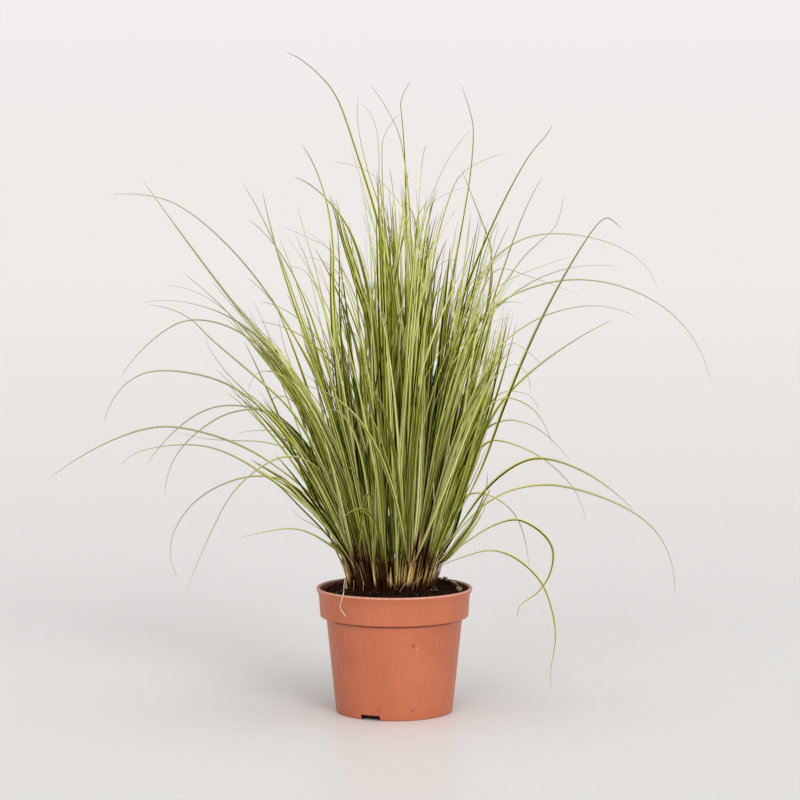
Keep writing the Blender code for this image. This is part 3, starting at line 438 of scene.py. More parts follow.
def pot_material():
    paint = Paint("terracotta_plastic", 0.46, 0.35)
    place = paint.place()
    broad = paint.noise(place, 26.0, 3.0)
    flow = paint.noise(paint.place((1.0, 1.0, 0.12)), 210.0, 3.0)
    speckle = paint.noise(place, 1500.0, 2.0)
    body = paint.fade(broad, 0.30, 0.72, *POT_BODY)
    body = paint.fade(flow, 0.50, 0.90, body, POT_FLOW)
    body = paint.fade(speckle, 0.70, 0.82, body, POT_SPECK)
    for x, y, z, size, colour in POT_MARKS:
        away = paint.vector("DISTANCE", place, (x * MM, y * MM, z * MM))
        body = paint.mix(paint.step(away, size * MM, 0.35 * (size * MM)), body, colour)
    split = paint.node("SeparateXYZ", {0: place}).outputs
    level = split["Z"]
    flat = paint.joined(split["X"], split["Y"], 0.0)
    # Painted shade: the faces inside the notches at the pot's foot, up to 5 mm high and within 44.6 mm of
    # the axis, are darkened nearly to black.
    inside = paint.step(paint.vector("LENGTH", flat), 44.6 * MM, 43.4 * MM)
    notch_shade_band = paint.times(paint.step(level, 5.0 * MM, 4.2 * MM), paint.step(level, 0.02 * MM, 0.1 * MM))
    body = paint.mix(paint.times(inside, notch_shade_band), body, POT_NOTCH_SHADE)
    # Painted shade: faces turned towards the axis, the pot's inner wall, are darkened.
    normal = paint.node("NewGeometry").outputs["True Normal"]
    inner_wall_shade = paint.math("LESS_THAN", paint.vector("DOT_PRODUCT", flat, normal), -10.0 * MM)
    body = paint.mix(paint.times(inner_wall_shade, 0.85), body, POT_INNER_SHADE)
    # Painted shadow: a thin dark line on the body just under the band's lower edge.
    band_shadow = paint.times(paint.step(level, 72.2 * MM, 72.9 * MM), paint.step(level, 74.3 * MM, 74.1 * MM))
    body = paint.mix(paint.times(band_shadow, 0.9), body, POT_BAND_SHADOW)
    # Painted highlight: a paler line along the lip's outer top edge, broken up by the specks.
    edge = paint.times(paint.step(level, 95.2 * MM, 95.9 * MM), paint.step(speckle, 0.30, 0.55))
    body = paint.mix(paint.times(edge, 0.6), body, POT_LIP_HIGHLIGHT)
    scuffs = paint.noise(paint.place((1.0, 1.0, 0.3)), 620.0, 4.0)
    rough = paint.math("MULTIPLY_ADD", paint.step(scuffs, 0.45, 0.75), 0.16, 0.40)
    paint.feed(paint.shader.inputs["Roughness"], rough)
    return paint.finished(body, paint.plus(speckle, paint.times(flow, 0.6)), 0.00012, 0.5)


def floor_material():
    """Pale paper that fades into the studio's air with distance from the plant."""
    paint = Paint("studio_floor", 0.42, 0.35)
    place = paint.place()
    paint.feed(paint.shader.inputs["Base Color"], paint.mix(paint.noise(place, 0.8, 2.0), *PAPER))
    far = paint.math("LOGARITHM", paint.vector("LENGTH", place), 2.0)
    fade = paint.step(far, math.log2(0.45), math.log2(14.0))
    air = paint.node("Emission", {"Color": AIR_HORIZON})
    blend = paint.node("MixShader", enumerate((fade, paint.shader.outputs[0], air.outputs[0])))
    paint.material.cycles.emission_sampling = "NONE"
    paint.links.new(blend.outputs[0], paint.nodes["Material Output"].inputs["Surface"])
    return paint.material


# Meshes

def new_object(name, data):
    thing = bpy.data.objects.new(name, data)
    bpy.context.scene.collection.objects.link(thing)
    return thing


class Shell:
    """Closed forms gathered into one mesh, with their attributes."""

    def __init__(self):
        self.vertices = []
        self.faces = []
        self.values = {}

    def add(self, vertices, faces, **values):
        start = len(self.vertices)
        self.vertices += [tuple(v) for v in vertices]
        self.faces += [tuple(start + corner for corner in face) for face in faces]
        for key, value in values.items():
            column = np.full(len(vertices), value) if np.isscalar(value) else np.asarray(value)
            self.values.setdefault(key, []).append(column)

    def add_rings(self, vertices, around, **values):
        self.add(vertices, ring_faces(len(vertices) // around, around), **values)

    def piece(self, name, material, slot, sharp_deg=60.0):
        """The mesh as a piece that rides on the part, with point attributes for its material."""
        mesh = bpy.data.meshes.new(name)
        mesh.from_pydata(self.vertices, [], self.faces)
        shape = bmesh.new()
        shape.from_mesh(mesh)
        bmesh.ops.recalc_face_normals(shape, faces=shape.faces)
        shape.to_mesh(mesh)
        shape.free()
        for key, columns in self.values.items():
            layer = mesh.attributes.new(key, "FLOAT", "POINT")
            layer.data.foreach_set("value", np.concatenate(columns).astype(np.float32))
        mesh.shade_smooth()
        mesh.set_sharp_from_angle(angle=math.radians(sharp_deg))
        mesh.materials.append(material)
        piece = new_object(name, mesh)
        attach(piece, "root")
        return piece


def ring_faces(rings, around, closed_start=True, closed_end=True):
    """Faces of a tube of rings laid one after another, with its ends closed."""
    faces = []
    for ring in range(rings - 1):
        for side in range(around):
            a = ring * around + side
            b = ring * around + (side + 1) % around
            faces.append((a, b, b + around, a + around))
    if closed_start:
        faces.append(tuple(range(around))[::-1])
    if closed_end:
        faces.append(tuple(range((rings - 1) * around, rings * around)))
    return faces


def polar(radius, angle):
    return radius * math.cos(angle), radius * math.sin(angle)


def turned_section(section, sides):
    """The points of (radius, height) rings turned about the pot's axis, ring after ring."""
    angles = [2.0 * math.pi * side / sides for side in range(sides)]
    return [(*polar(radius, angle), height) for radius, height in section for angle in angles]


def smooth_step(share):
    share = np.clip(share, 0.0, 1.0)
    return share * share * (3.0 - 2.0 * share)


def lengths_along(line):
    return np.concatenate(([0.0], np.cumsum(np.linalg.norm(np.diff(line, axis=0), axis=1))))


def at_measures(line, measures, wanted):
    return np.stack([np.interp(wanted, measures, line[:, axis]) for axis in range(3)], axis=1)


def resampled(line, wanted):
    """A line's points at the wanted lengths along it."""
    return at_measures(line, lengths_along(line), wanted)


def even(curve):
    """The same curve as points at even distances."""
    return resampled(curve, np.linspace(0.0, lengths_along(curve)[-1], EVEN_POINTS))


def directions(line):
    """The unit direction of a line at each of its points."""
    ways = np.gradient(line, axis=0)
    return ways / np.linalg.norm(ways, axis=1)[:, None]


def any_turn(rule):
    return rule.uniform(0.0, 2.0 * math.pi)


def level_way(turn):
    """The level unit vector of a direction."""
    return np.array([*polar(1.0, turn), 0.0])


def smooth_curve(points, fine=CURVE_STEPS):
    """Many points along a smooth curve through the given ones (centripetal knots)."""
    points = np.asarray(points, dtype=float)
    steps = np.linalg.norm(np.diff(points, axis=0), axis=1) ** 0.5
    slopes = np.diff(points, axis=0) / steps[:, None]
    tangents = np.empty_like(points)
    before, after = steps[:-1, None], steps[1:, None]
    tangents[1:-1] = (slopes[:-1] * after + slopes[1:] * before) / (before + after)
    tangents[0] = 2.0 * slopes[0] - tangents[1]
    tangents[-1] = 2.0 * slopes[-1] - tangents[-2]
    u = np.linspace(0.0, 1.0, fine + 1)[1:, None]
    made = [points[:1]]
    for i, step in enumerate(steps):
        made.append(
            (2 * u**3 - 3 * u**2 + 1) * points[i] + (u**3 - 2 * u**2 + u) * step * tangents[i]
            + (3 * u**2 - 2 * u**3) * points[i + 1] + (u**3 - u**2) * step * tangents[i + 1]
        )
    return np.concatenate(made)


# Blades

def welded(node):
    """The corners of a CAD mesh, each once, and the corners that each is joined to by a face."""
    corners = np.round(np.array([vertex.co for vertex in node.data.vertices], dtype=float), 6)
    spots, places = np.unique(corners, axis=0, return_inverse=True)
    places = places.reshape(-1)
    linked = [set() for _ in spots]
    for polygon in node.data.polygons:
        joined = {int(places[corner]) for corner in polygon.vertices}
        for number in joined:
            linked[number] |= joined - {number}
    return spots, linked


def rings_from(tip, linked):
    """The corners round a tip, ring after ring, each corner once."""
    met = {tip}
    ring = linked[tip]
    while ring:
        yield sorted(ring)
        met |= ring
        ring = set.union(*(linked[number] for number in ring)) - met


def read_shoot(node):
    """A shoot's foot and mouth, and its leaves as rings of two margins and a keel, from mouth to tip."""
    spots, linked = welded(node)
    leaves = []
    used = set()
    for tip, around in enumerate(linked):
        if len(around) != 3:
            continue
        rings = []
        for ring in rings_from(tip, linked):
            rings.append(ring)
            if len(rings) in RING_COUNTS and np.ptp(spots[ring, 2]) <= LEVEL:
                break
        used |= {tip}.union(*rings)
        leaves.append((spots[tip], [spots[ring] for ring in rings[::-1]]))
    sheath = spots[sorted(set(range(len(spots))) - used)]
    foot = sheath[sheath[:, 2] < sheath[:, 2].min() + LEVEL].mean(axis=0)
    mouth = np.mean([rings[0].mean(axis=0) for _, rings in leaves], axis=0)
    return foot, mouth, leaves


def turned_ring(ring, side_before):
    """Centre, side direction, width and upper-face direction of a ring of three points."""
    spans = [np.linalg.norm(ring[(k + 1) % 3] - ring[k]) for k in range(3)]
    longest = int(np.argmax(spans))
    a, b, keel = ring[longest], ring[(longest + 1) % 3], ring[(longest + 2) % 3]
    side = (a - b) / np.linalg.norm(a - b)
    if side_before is not None and side @ side_before < 0.0:
        side = -side
    centre = 0.5 * (a + b)
    return centre, side, np.linalg.norm(a - b), centre - keel


def blade_stations(curve):
    """Lengths along a curve, closer together where it turns."""
    lengths = lengths_along(curve)
    ways = directions(curve)
    turning = np.arccos(np.clip((ways[1:] * ways[:-1]).sum(axis=1), -1.0, 1.0))
    turned = np.concatenate(([0.0], np.cumsum(turning))) + 1e-6 * lengths
    cost = (1.0 - TURNING_SHARE) * lengths / lengths[-1] + TURNING_SHARE * turned / turned[-1]
    return np.interp(np.linspace(0.0, 1.0, BLADE_STATIONS + 1), cost, lengths)


def bells(x, places, reach):
    """The sum of bells of the given heights at places across the front."""
    return sum(height * math.exp(-(((x - place * MM) / reach) ** 2)) for place, height in places)


def browning(foot):
    """How much further up the dead brown reaches on a shoot that stands in one of the crown's dark gaps."""
    return bells(foot[0], BROWN_GAPS, BROWN_GAP_REACH)


def add_blade(
    shell, line, sides, widths, tone, rises, flip=1.0, fold=FOLD, thickness=BLADE_THICKNESS, dead=1.0
):
    """A folded blade as a closed form: a channel of an upper and a lower skin that ends in a point."""
    ways = directions(line)
    sides = sides - (sides * ways).sum(axis=1)[:, None] * ways
    sides /= np.linalg.norm(sides, axis=1)[:, None]
    ups = np.cross(ways, sides) * flip
    section = [(u, 0.0) for u in ACROSS] + [(u, 1.0) for u in ACROSS[-2:0:-1]]
    around = len(section)
    count = len(line) - 1
    shares = lengths_along(line) / lengths_along(line)[-1]
    vertices = []
    for centre, side, up, half in zip(line[:-1], sides, ups, 0.5 * widths):
        for u, under in section:
            skin = under * thickness * (1.0 - abs(u) ** 3) * min(1.0, half / MM)
            dip = fold * half * (1.0 - abs(u) ** 1.5) + skin
            vertices.append(centre + side * u * half - up * dip)
    tip = len(vertices)
    vertices.append(line[-1])
    faces = ring_faces(count, around, True, False)
    for corner in range(around):
        faces.append((tip - around + corner, tip - around + (corner + 1) % around, tip))
    shell.add(
        vertices,
        faces,
        across=np.append(np.tile([0.5 * (u + 1.0) for u, _ in section], count), 0.5),
        along=np.append(np.repeat(shares[:count], around), 1.0),
        rise=np.append(np.repeat(rises[:count], around), rises[-1]),
        tone=tone,
        under=np.append(np.tile([under for _, under in section], count), 0.0),
        browning=dead * browning(line[0]),
    )


def cad_blade(shell, foot, mouth, tip, rings, rule):
    """The fine blade of a CAD leaf: from the peat through the sheath, then along the leaf's rings."""
    drawn = RING_COUNTS.index(len(rings))
    centres, sides, widths = [], [], []
    side = None
    for ring in rings:
        centre, side, width, up = turned_ring(ring, side)
        centres.append(centre)
        sides.append(side)
        widths.append(width)
    flip = 1.0 if np.cross(centres[-1] - centres[-2], side) @ up > 0.0 else -1.0
    start = foot + (centres[0] - mouth) + FOOT_LIFT
    curve = smooth_curve([start, 0.5 * (start + centres[0])] + centres + [tip])
    knots = lengths_along(curve)[::CURVE_STEPS]
    wanted = blade_stations(curve)
    foot_widths = [FOOT_WIDTH, 1.1 * FOOT_WIDTH, 1.25 * FOOT_WIDTH]
    widths = foot_widths + [LEAF_WIDENING[drawn] * width for width in widths[1:]] + [TIP_WIDTH]
    wide = np.interp(wanted, knots, widths) * (0.68 + 0.32 * smooth_step(wanted / (150 * MM)))
    spread = at_measures(np.array([sides[0], sides[0]] + sides + [sides[-1]]), knots, wanted)
    tone = rule.uniform(*LEAF_TONES[drawn])
    line = resampled(curve, wanted)
    add_blade(shell, line, spread, wide, tone, wanted, flip, dead=LEAF_BROWNING[drawn])
    return curve


def seen(point):
    """A point in space as (x, z) of the front elevation."""
    scale = 1.0 + point[..., 1] / EYE_DISTANCE
    return point[..., 0] / scale, EYE_HEIGHT + (point[..., 2] - EYE_HEIGHT) / scale


def within(outline, x, z):
    """Which of the places (x, z) lie within an outline given in millimetres."""
    corners = np.array(outline) * MM
    inside = np.zeros(len(x), dtype=bool)
    for (x0, z0), (x1, z1) in zip(corners, np.roll(corners, -1, axis=0)):
        if z0 == z1:
            continue
        level = (z0 > z) != (z1 > z)
        inside ^= level & (x < x0 + (z - z0) / (z1 - z0) * (x1 - x0))
    return inside


def inside_outline(line):
    return within(CLUMP_OUTLINE, *seen(line)).all()


def in_clearing(line):
    """Whether a line runs through one of the gaps that are left open."""
    return any(within(gap, *seen(line)).any() for gap in CLEARINGS)


class Crowd:
    """The lines of the blades made so far, for the room that a new one would have."""

    def __init__(self):
        self.points = []
        self.tree = None

    def add(self, line):
        self.points += list(resampled(line, np.arange(30 * MM, lengths_along(line)[-1], 3 * MM)))
        self.tree = KDTree(len(self.points))
        for number, point in enumerate(self.points):
            self.tree.insert(point, number)
        self.tree.balance()

    def room(self, line):
        whole = lengths_along(line)[-1]
        wanted = np.linspace(min(40 * MM, 0.5 * whole), whole, 30)
        return min(self.tree.find(point)[2] for point in resampled(line, wanted))


def extra_line(foot, mouth, rule):
    """A curve of the same shoot, drawn by a rule of lean and bend, inside the clump's outline."""
    share = (foot[:2] - CROWN_CENTRE) / CROWN_HALF
    box = np.array([list(corner) for corner in CAD_BOX]) * (1.0 - EXTRA_INSET)
    chances = [kind[0] for kind in EXTRA_KINDS]
    for _ in range(LINE_TRIES):
        _, leans, sway, outward, kept, bends, overs, lengths = rule.choices(EXTRA_KINDS, chances)[0]
        aside = math.copysign(rule.uniform(*outward), share[0] + rule.gauss(0.0, 0.35))
        lean_x = share[0] * leans[0] * rule.uniform(0.6, 1.2) + rule.gauss(0.0, sway) + aside
        lean_y = share[1] * leans[1] * rule.uniform(0.4, 1.2) + rule.gauss(0.0, sway)
        way = np.radians([lean_x, lean_y])
        out = way / max(np.linalg.norm(way), 1e-6)
        left = rule.uniform(*kept)
        side = any_turn(rule)
        bend = math.radians(rule.uniform(*bends)) * np.array([math.cos(side), 0.6 * math.sin(side)])
        over = math.radians(rule.uniform(*overs)) * out
        power = rule.uniform(1.2, 3.0)
        length = lengths[0] + (lengths[1] - lengths[0]) * rule.random() ** 1.3
        slot = 1.5 * MM * level_way(any_turn(rule))
        points = [foot + slot + FOOT_LIFT, 0.5 * (foot + mouth) + slot, mouth + 0.8 * slot]
        for step in range(LINE_STEPS):
            part = (step + 0.5) / LINE_STEPS
            lean = way * (1.0 - (1.0 - left) * float(smooth_step(1.6 * part)))
            tilt = lean + bend * part + over * part**power
            angle = np.linalg.norm(tilt)
            move = np.append(math.sin(angle) / max(angle, 1e-6) * tilt, math.cos(angle))
            points.append(points[-1] + move * length / LINE_STEPS)
        drawn = np.array(points[3:])
        if np.all(drawn > box[0]) and np.all(drawn < box[1]) and inside_outline(drawn):
            return smooth_curve(points, 4)
    return None


def cut_back(curve, share, step, spare, least, rule):
    """A curve of even points, ended inside the clump's outline, or None where little of it is left."""
    count = min(len(curve), int(len(curve) * rule.uniform(*share)))
    while count > 16 and not inside_outline(curve[12:count:3]):
        count -= step
    count -= rule.randint(0, spare)
    return smooth_curve(curve[:count:2], 4) if count > least else None


def partner_line(line, others, rule):
    """A curve from the foot of one CAD leaf that runs between it and a neighbour."""
    middle = slice(14, 40)
    apart = [np.linalg.norm(other[middle] - line[middle], axis=1).mean() for other in others]
    near = [number for number in np.argsort(apart) if PARTNER_APART[0] < apart[number] < PARTNER_APART[1]]
    steps = np.linspace(0.0, 1.0, len(line))[:, None]
    for _ in range(PARTNER_TRIES if near else 0):
        other = others[rule.choice(near[:PARTNER_CHOICE])]
        share = rule.uniform(0.2, 0.8)
        way = level_way(any_turn(rule))
        sway = rule.uniform(-18.0, 18.0) * MM * smooth_step((steps - 0.25) / 0.75)
        away = smooth_step((steps - 0.08) / 0.45)
        curve = line + FOOT_ASIDE * way * (1.0 - steps) + share * away * (other - line) + sway * way
        made = cut_back(curve, PARTNER_SHARE, 3, 4, 20, rule)
        if made is not None:
            return made
    return None


def beside_line(line, rule):
    """A curve close beside a drawn leaf, from the same foot, as the leaves of one tuft lie."""
    steps = np.linspace(0.0, 1.0, len(line))[:, None]
    aside = level_way(any_turn(rule))
    curve = line + aside * (FOOT_ASIDE * (1.0 - steps) + rule.uniform(*BESIDE_REACH) * smooth_step(steps))
    bow = rule.uniform(-5.0, 5.0) * MM
    curve[:, 0] += bow * np.sin(math.pi * steps[:, 0])
    return cut_back(curve, BESIDE_SHARE, 2, 5, 18, rule)


def tuft_line(foot, mouth, path, spread, rule):
    """A curve from a shoot's foot that follows a tuft's way, a little off its middle."""
    aside, above = rule.gauss(0.0, spread) * MM, rule.gauss(0.0, 0.6 * spread) * MM
    deep = 1.4 * foot[1] + rule.gauss(0.0, 14.0) * MM
    bow = rule.uniform(-4.0, 4.0) * MM
    points = [foot + FOOT_LIFT, mouth]
    for number, (x, z) in enumerate(path, 1):
        share = number / len(path)
        y = mouth[1] + (deep - mouth[1]) * share
        scale = 1.0 + y / EYE_DISTANCE
        across = x * MM + aside * share + bow * math.sin(math.pi * share)
        up = z * MM + above * share
        points.append(np.array([across * scale, y, EYE_HEIGHT + (up - EYE_HEIGHT) * scale]))
    curve = smooth_curve(points, 8)
    return curve[:int(len(curve) * rule.uniform(*TUFT_SHARE))]


def extra_blade(shell, lines, crowd, rule):
    """A finer blade: of a few possible lines clear of the gaps, the one with the most room."""
    lines = [line for line in lines if line is not None and not in_clearing(line)]
    if not lines:
        return
    curve = max(lines, key=crowd.room)
    crowd.add(curve)
    wanted = blade_stations(curve)
    shares = wanted / wanted[-1]
    first = any_turn(rule)
    last = first + rule.gauss(0.0, 0.9)
    angles = first + (last - first) * shares
    sides = np.stack([np.cos(angles), np.sin(angles), 0.0 * angles], axis=1)
    widths = rule.uniform(*EXTRA_WIDTH) * (0.08 + 0.92 * (1.0 - shares**5) ** 0.9)
    widths = FOOT_WIDTH + (widths - FOOT_WIDTH) * smooth_step(shares / 0.45)
    tone = rule.uniform(*rule.choice(EXTRA_TONES))
    add_blade(shell, resampled(curve, wanted), sides, widths, tone, wanted)


def add_scale(shell, foot, mouth, rule):
    """A dead leaf sheath: a pointed strip that wraps part of the way round the shoot's foot."""
    height = rule.uniform(0.5, 1.7) * np.linalg.norm(mouth - foot) + browning(foot) * rule.uniform(0.0, 1.0)
    bleached = BLEACHED_SHARE + bells(foot[0], STRAW_TUFTS, STRAW_TUFT_REACH)
    tone = rule.uniform(0.66, 1.0) if rule.random() < bleached else rule.uniform(0.0, 0.55)
    axis = (mouth - foot) / np.linalg.norm(mouth - foot)
    middle = any_turn(rule)
    spread = rule.uniform(0.10, 0.42)
    flare = rule.uniform(-0.1, 0.9) * MM
    radius = rule.uniform(1.6, 2.7) * MM
    places = np.linspace(-1.0, 1.0, SCALE_COLUMNS)
    section = [(place, 1.0) for place in places] + [(place, 0.0) for place in places[::-1]]
    vertices, across, rises = [], [], []
    for share in np.linspace(0.0, 1.0, SCALE_ROWS):
        wide = spread * (1.0 - share**2.2)
        out = radius * (1.0 - 0.28 * share) + flare * share**2
        centre = foot + axis * height * share + np.array([0.0, 0.0, 0.2 * MM])
        for place, outer in section:
            reach = out + outer * 0.25 * MM * (1.0 - 0.8 * abs(place))
            vertices.append(centre + reach * level_way(middle + place * max(wide, 0.06)))
            across.append(0.5 + 0.5 * place)
            rises.append(height * share)
    shell.add_rings(vertices, len(section), across=across, rise=rises, tone=tone)


def make_stubs(shell, rule):
    """Dead sheaths of the crown that have no shoot."""
    for _ in range(STUBS):
        turn = any_turn(rule)
        share = math.sqrt(rule.random()) * level_way(turn)[:2]
        foot = np.append(CROWN_CENTRE + share * CROWN_HALF * 0.97, CROWN_TOP)
        foot[2] = peat_height(foot[0], foot[1])
        height = rule.uniform(7.0, 16.0) * MM
        lean = np.radians(share * STUB_LEAN_DEG)
        mouth = foot + height * np.append(np.tan(lean), 1.0)
        add_scale(shell, foot, mouth, rule)


def make_shoots():
    blades = leaf_material()
    scales = scale_material()
    rule = random.Random(EXTRA_SEED)
    all_scales = Shell()
    shoots = {name: read_shoot(node) for name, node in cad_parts.items() if name.startswith("shoot_")}
    shells = {name: Shell() for name in sorted(shoots)}
    crowd = Crowd()
    grown = {}
    drawn = {}
    for name, shell in shells.items():
        foot, mouth, leaves = shoots[name]
        curves = [cad_blade(shell, foot, mouth, tip, rings, rule) for tip, rings in leaves]
        grown[name] = [even(curve) for curve in curves]
        drawn[name] = [line for line, (_, rings) in zip(grown[name], leaves) if len(rings) == RING_COUNTS[1]]
        for curve in curves:
            crowd.add(curve)
    every = [line for lines in grown.values() for line in lines]
    for count, spread, path in TUFTS:
        start = path[0][0] * MM * CROWN_TOP / (path[0][1] * MM)
        near = sorted(shoots, key=lambda name: abs(shoots[name][1][0] - start))[:TUFT_SHOOTS]
        for _ in range(count):
            name = rule.choice(near)
            foot, mouth, _ = shoots[name]
            extra_blade(shells[name], [tuft_line(foot, mouth, path, spread, rule)], crowd, rule)
    for name, shell in shells.items():
        foot, mouth, _ = shoots[name]
        for line in drawn[name]:
            for _ in range(BESIDE_BLADES):
                extra_blade(shell, [beside_line(line, rule) for _ in range(2)], crowd, rule)
        for _ in range(PARTNER_BLADES):
            own = [rule.choice(grown[name]) for _ in range(EXTRA_TRIES)]
            extra_blade(shell, [partner_line(line, every, rule) for line in own], crowd, rule)
        for _ in range(EXTRA_BLADES):
            extra_blade(shell, [extra_line(foot, mouth, rule) for _ in range(EXTRA_TRIES)], crowd, rule)
        for _ in range(SCALES):
            add_scale(all_scales, foot, mouth, rule)
        piece = shell.piece(name.replace("shoot", "grass"), blades, "leaf")
        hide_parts(name)
    make_stubs(all_scales, rule)
    all_scales.piece("dead_sheaths", scales, "dry_leaf")


def make_dry_leaf():
    spots, linked = welded(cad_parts["dry_leaf"])
    tip = int(np.argmin(spots[:, 2]))
    rings = [spots[ring] for ring in rings_from(tip, linked)]
    curve = smooth_curve([ring.mean(axis=0) for ring in rings[::-1]] + [spots[tip]])
    wanted = np.linspace(0.0, lengths_along(curve)[-1], EVEN_POINTS)
    turns = np.linspace(0.2, 4.6, EVEN_POINTS) + 0.5 * np.sin(wanted / (5.0 * MM))
    sides = np.stack([np.cos(turns), np.sin(turns) * 0.6, 0.5 * np.sin(turns + 0.8)], axis=1)
    widths = (1.35 - 0.7 * (wanted / wanted[-1])) * MM * (0.8 + 0.25 * np.sin(wanted / (3.1 * MM)))
    shell = Shell()
    add_blade(shell, even(curve), sides, widths, 0.5, wanted, fold=0.35, thickness=0.16 * MM)
    piece = shell.piece("dry_leaf_strand", dry_material(), "dry_leaf")
    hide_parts("dry_leaf")


# Pot and peat

def make_pot():
    shell = Shell()
    shell.add_rings(turned_section(np.array(POT_SECTION) * MM, POT_SIDES), POT_SIDES)
    pot = shell.piece("nursery_pot", pot_material(), "pot", 50.0)
    mesh = bpy.data.meshes.new("notch_cutter")
    shape = bmesh.new()
    bmesh.ops.create_cube(shape, size=1.0)
    bmesh.ops.scale(shape, verts=shape.verts, vec=(NOTCH_SIZE[0], NOTCH_SIZE[1], 2.0 * NOTCH_SIZE[2]))
    bmesh.ops.translate(shape, verts=shape.verts, vec=(0.0, -NOTCH_CENTRE_RADIUS, 0.0))
    bmesh.ops.bevel(shape, geom=shape.edges, offset=NOTCH_ROUNDING, segments=2, affect="EDGES")
    shape.to_mesh(mesh)
    shape.free()
    for turn in NOTCH_TURNS_DEG:
        cutter = new_object("notch_cutter", mesh)
        cutter.rotation_euler = (0.0, 0.0, math.radians(turn))
        modifier = pot.modifiers.new("notch", "BOOLEAN")
        modifier.operation = "DIFFERENCE"
        modifier.solver = "EXACT"
        modifier.object = cutter
        bpy.context.view_layer.update()
        made = bpy.data.meshes.new_from_object(pot.evaluated_get(bpy.context.evaluated_depsgraph_get()))
        pot.modifiers.clear()
        pot.data = made
        bpy.data.objects.remove(cutter)
    pot.data.name = "nursery_pot"
    pot.data.set_sharp_from_angle(angle=math.radians(40.0))
    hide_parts("pot")


def peat_height(x, y):
    """The CAD peat's height under a point, with crumbly relief."""
    hit = PEAT_SURFACE.ray_cast(Vector((x, y, 0.2)), Vector((0.0, 0.0, -1.0)))
    base = hit[0].z if hit[0] is not None else 90.0 * MM
    relief = sum(noise.noise(Vector((x, y, 0.0)) * scale) * height for scale, height in PEAT_RELIEF)
    return base + relief * MM - 0.3 * MM


def make_peat():
    vertices = turned_section(np.array(PEAT_WALL) * MM, PEAT_SECTORS)
    for ring in range(1, PEAT_RINGS):
        radius = PEAT_WALL[-1][0] * MM * (1.0 - ring / PEAT_RINGS) ** 0.9
        for x, y, _ in turned_section([(radius, 0.0)], PEAT_SECTORS):
            vertices.append((x, y, peat_height(x, y)))
    shell = Shell()
    shell.add_rings(vertices, PEAT_SECTORS, tone=0.0)
    peat = shell.piece("peat_surface", peat_material(), "peat", 75.0)
    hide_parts("peat")
    return peat.data.materials[0]


def unit_lump():
    shape = bmesh.new()
    bmesh.ops.create_icosphere(shape, subdivisions=2, radius=1.0)
    vertices = np.array([vertex.co for vertex in shape.verts])
    faces = [tuple(vertex.index for vertex in face.verts) for face in shape.faces]
    shape.free()
    return vertices, faces


def add_lump(shell, lump, centre, size, tone, rule):
    """One crumb: a rough, squashed ball."""
    vertices, faces = lump
    seed = Vector((rule.uniform(0, 50), rule.uniform(0, 50), rule.uniform(0, 50)))
    rough = np.array([1.0 + 0.55 * noise.noise(Vector(v) * 1.1 + seed) for v in vertices])
    squash = np.array([rule.uniform(0.7, 1.3), rule.uniform(0.7, 1.3), rule.uniform(0.5, 0.9)])
    cosine, sine = polar(1.0, any_turn(rule))
    x, y, z = (vertices * rough[:, None] * squash * size).T
    turned = np.stack([x * cosine - y * sine, x * sine + y * cosine, z], axis=1)
    shell.add(turned + centre, faces, tone=tone)


def pile(angle):
    """Height of the heap of crumbs at the right rear of the rim, at an angle round the pot."""
    return PILE_HEIGHT * math.exp(-(((math.degrees(angle) - PILE_MIDDLE_DEG) / PILE_SPREAD_DEG) ** 2))


def make_crumbs(peat):
    rule = random.Random(5)
    lump = unit_lump()
    shell = Shell()
    for _ in range(CRUMBS):
        radius = 56.0 * MM * math.sqrt(rule.uniform(0.0, 1.0))
        x, y = polar(radius, any_turn(rule))
        size = rule.choice(CRUMB_SIZES) * rule.uniform(0.7, 1.2) * MM
        if radius + size > 56.6 * MM:
            continue
        pale = rule.random() < 0.02 and size < 0.9 * MM
        tone = 1.0 if pale else rule.uniform(0.0, 0.85)
        add_lump(shell, lump, (x, y, peat_height(x, y) + 0.25 * size), size, tone, rule)
    for _ in range(HEAPED_CRUMBS):
        angle = math.radians(rule.uniform(2.0, 84.0))
        radius = rule.uniform(47.0, 56.0) * MM
        size = rule.uniform(0.6, 1.6) * MM
        radius = min(radius, 56.4 * MM - size)
        x, y = polar(radius, angle)
        heap = pile(angle) * rule.uniform(0.2, 1.05)
        z = peat_height(x, y) + heap * smooth_step((radius - 46.0 * MM) / (8.0 * MM))
        add_lump(shell, lump, (x, y, z), size, rule.uniform(0.0, 0.85), rule)
    shell.piece("peat_crumbs", peat, "peat", 80.0)
    grey = Shell()
    for _ in range(GREY_CRUMB_GROUPS):
        middle = rule.uniform(0.0, 44.0)
        inner = rule.uniform(48.5, 55.5) * MM
        for _ in range(rule.randint(3, 8)):
            angle = math.radians(rule.gauss(middle, 1.3))
            size = rule.uniform(0.35, 1.15) * MM
            x, y = polar(min(inner + rule.gauss(0.0, 1.0) * MM, 57.0 * MM - size), angle)
            z = peat_height(x, y) + pile(angle) * rule.uniform(0.75, 1.12) + 0.3 * size
            add_lump(grey, lump, (x, y, z), size, rule.uniform(0, 1), rule)
    grey.piece("rim_crumbs", grey_crumb_material(), "peat", 80.0)


def add_strand(shell, points, radius):
    """A thin closed strand along the points, pointed at its far end."""
    curve = smooth_curve(points, 5)
    helper = np.array([0.31, 0.17, 0.93])
    vertices = []
    for number, (centre, way) in enumerate(zip(curve, directions(curve))):
        a = np.cross(way, helper)
        a /= np.linalg.norm(a)
        b = np.cross(way, a)
        thin = radius * (1.0 - 0.75 * number / (len(curve) - 1))
        for side in range(STRAND_SIDES):
            angle = 2.0 * math.pi * side / STRAND_SIDES
            vertices.append(centre + thin * (math.cos(angle) * a + math.sin(angle) * b))
    rises = np.repeat(lengths_along(curve), STRAND_SIDES)
    across = np.tile(np.arange(STRAND_SIDES) / STRAND_SIDES, len(curve))
    shell.add_rings(vertices, STRAND_SIDES, across=across, rise=rises)


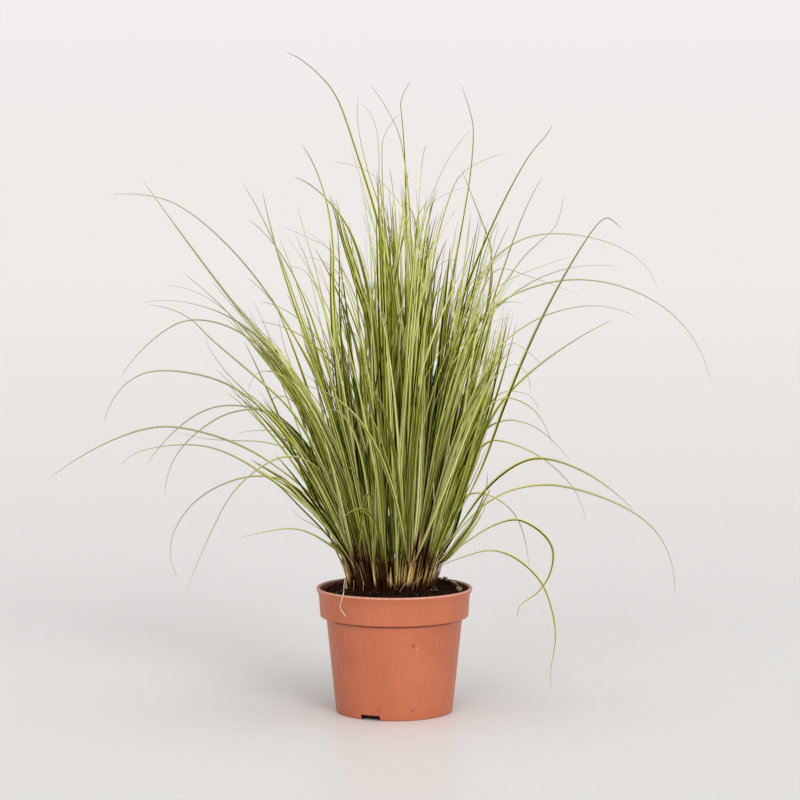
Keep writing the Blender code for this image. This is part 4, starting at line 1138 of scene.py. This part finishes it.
def make_fibres():
    shell = Shell()
    for points in FIBRES:
        add_strand(shell, np.array(points) * MM, FIBRE_RADIUS)
    rule = random.Random(9)
    for _ in range(LOOSE_FIBRES):
        angle = any_turn(rule)
        x, y = polar(rule.uniform(30.0, 53.0) * MM, angle)
        heading = any_turn(rule)
        step = rule.uniform(0.9, 2.4) * MM
        points = []
        for _ in range(4):
            heading += rule.gauss(0.0, 0.35)
            points.append((x, y, peat_height(x, y) + rule.uniform(0.3, 0.9) * MM))
            x += step * math.cos(heading)
            y += step * math.sin(heading)
            if math.hypot(x, y) > 55.5 * MM:
                break
        if len(points) > 2:
            add_strand(shell, points, rule.uniform(0.07, 0.17) * MM)
    shell.piece("peat_fibres", dry_material(), "dry_leaf")


# Stage

def make_stage():
    mesh = bpy.data.meshes.new("floor")
    vertices = turned_section([(radius, 0.0) for radius in FLOOR_RADII], FLOOR_SIDES)
    mesh.from_pydata(vertices, [], ring_faces(len(FLOOR_RADII), FLOOR_SIDES, closed_start=False))
    mesh.materials.append(floor_material())
    floor = new_object("floor", mesh)


def add_sun(name, place, softness_deg, power):
    """Even light from one side, as from a large soft box: from a place towards the plant."""
    light = bpy.data.lights.new(name, "SUN")
    light.angle = math.radians(softness_deg)
    light.energy = power
    thing = new_object(name, light)
    thing.location = place
    thing.rotation_euler = Vector(place).to_track_quat("Z", "Y").to_euler()


def make_world():
    """Bright air below and along the horizon, where a studio's backdrop stands, and dimmer air high above.
    """
    world = bpy.data.worlds.new("studio")
    world.use_nodes = True
    nodes = world.node_tree.nodes
    links = world.node_tree.links
    coordinates = nodes.new("ShaderNodeTexCoord")
    split = nodes.new("ShaderNodeSeparateXYZ")
    links.new(coordinates.outputs["Generated"], split.inputs[0])
    ramp = nodes.new("ShaderNodeValToRGB")
    ramp.color_ramp.interpolation = "EASE"
    links.new(split.outputs["Z"], ramp.inputs["Fac"])
    stops = ramp.color_ramp.elements
    stops.remove(stops[1])
    stops[0].color = (*AIR_HORIZON, 1.0)
    for place, colour in ((0.11, AIR_HIGH), (0.34, AIR_TOP)):
        stops.new(place).color = (*colour, 1.0)
    links.new(ramp.outputs["Color"], nodes["Background"].inputs["Color"])
    bpy.context.scene.world = world


def make_lights():
    make_world()
    add_sun("key_right", (0.95, -1.9, 1.0), 28.0, 1.25)
    add_sun("key_left", (-0.75, -1.9, 1.0), 32.0, 0.60)
    add_sun("top", (0.1, -0.2, 2.0), 60.0, 1.30)


def make_camera():
    camera = bpy.data.cameras.new("camera")
    camera.sensor_width = 36.0
    camera.lens = CAMERA_LENS
    camera.shift_x = CAMERA_SHIFT
    camera.clip_end = 200.0
    thing = new_object("camera", camera)
    thing.location = CAMERA_PLACE
    thing.rotation_euler = (math.radians(90.0 - CAMERA_PITCH_DEG), 0.0, 0.0)
    bpy.context.scene.camera = thing
    bpy.context.scene.view_settings.view_transform = "Standard"


def main():
    make_pot()
    make_crumbs(make_peat())
    make_fibres()
    make_dry_leaf()
    make_shoots()
    make_stage()
    make_lights()
    make_camera()


main()
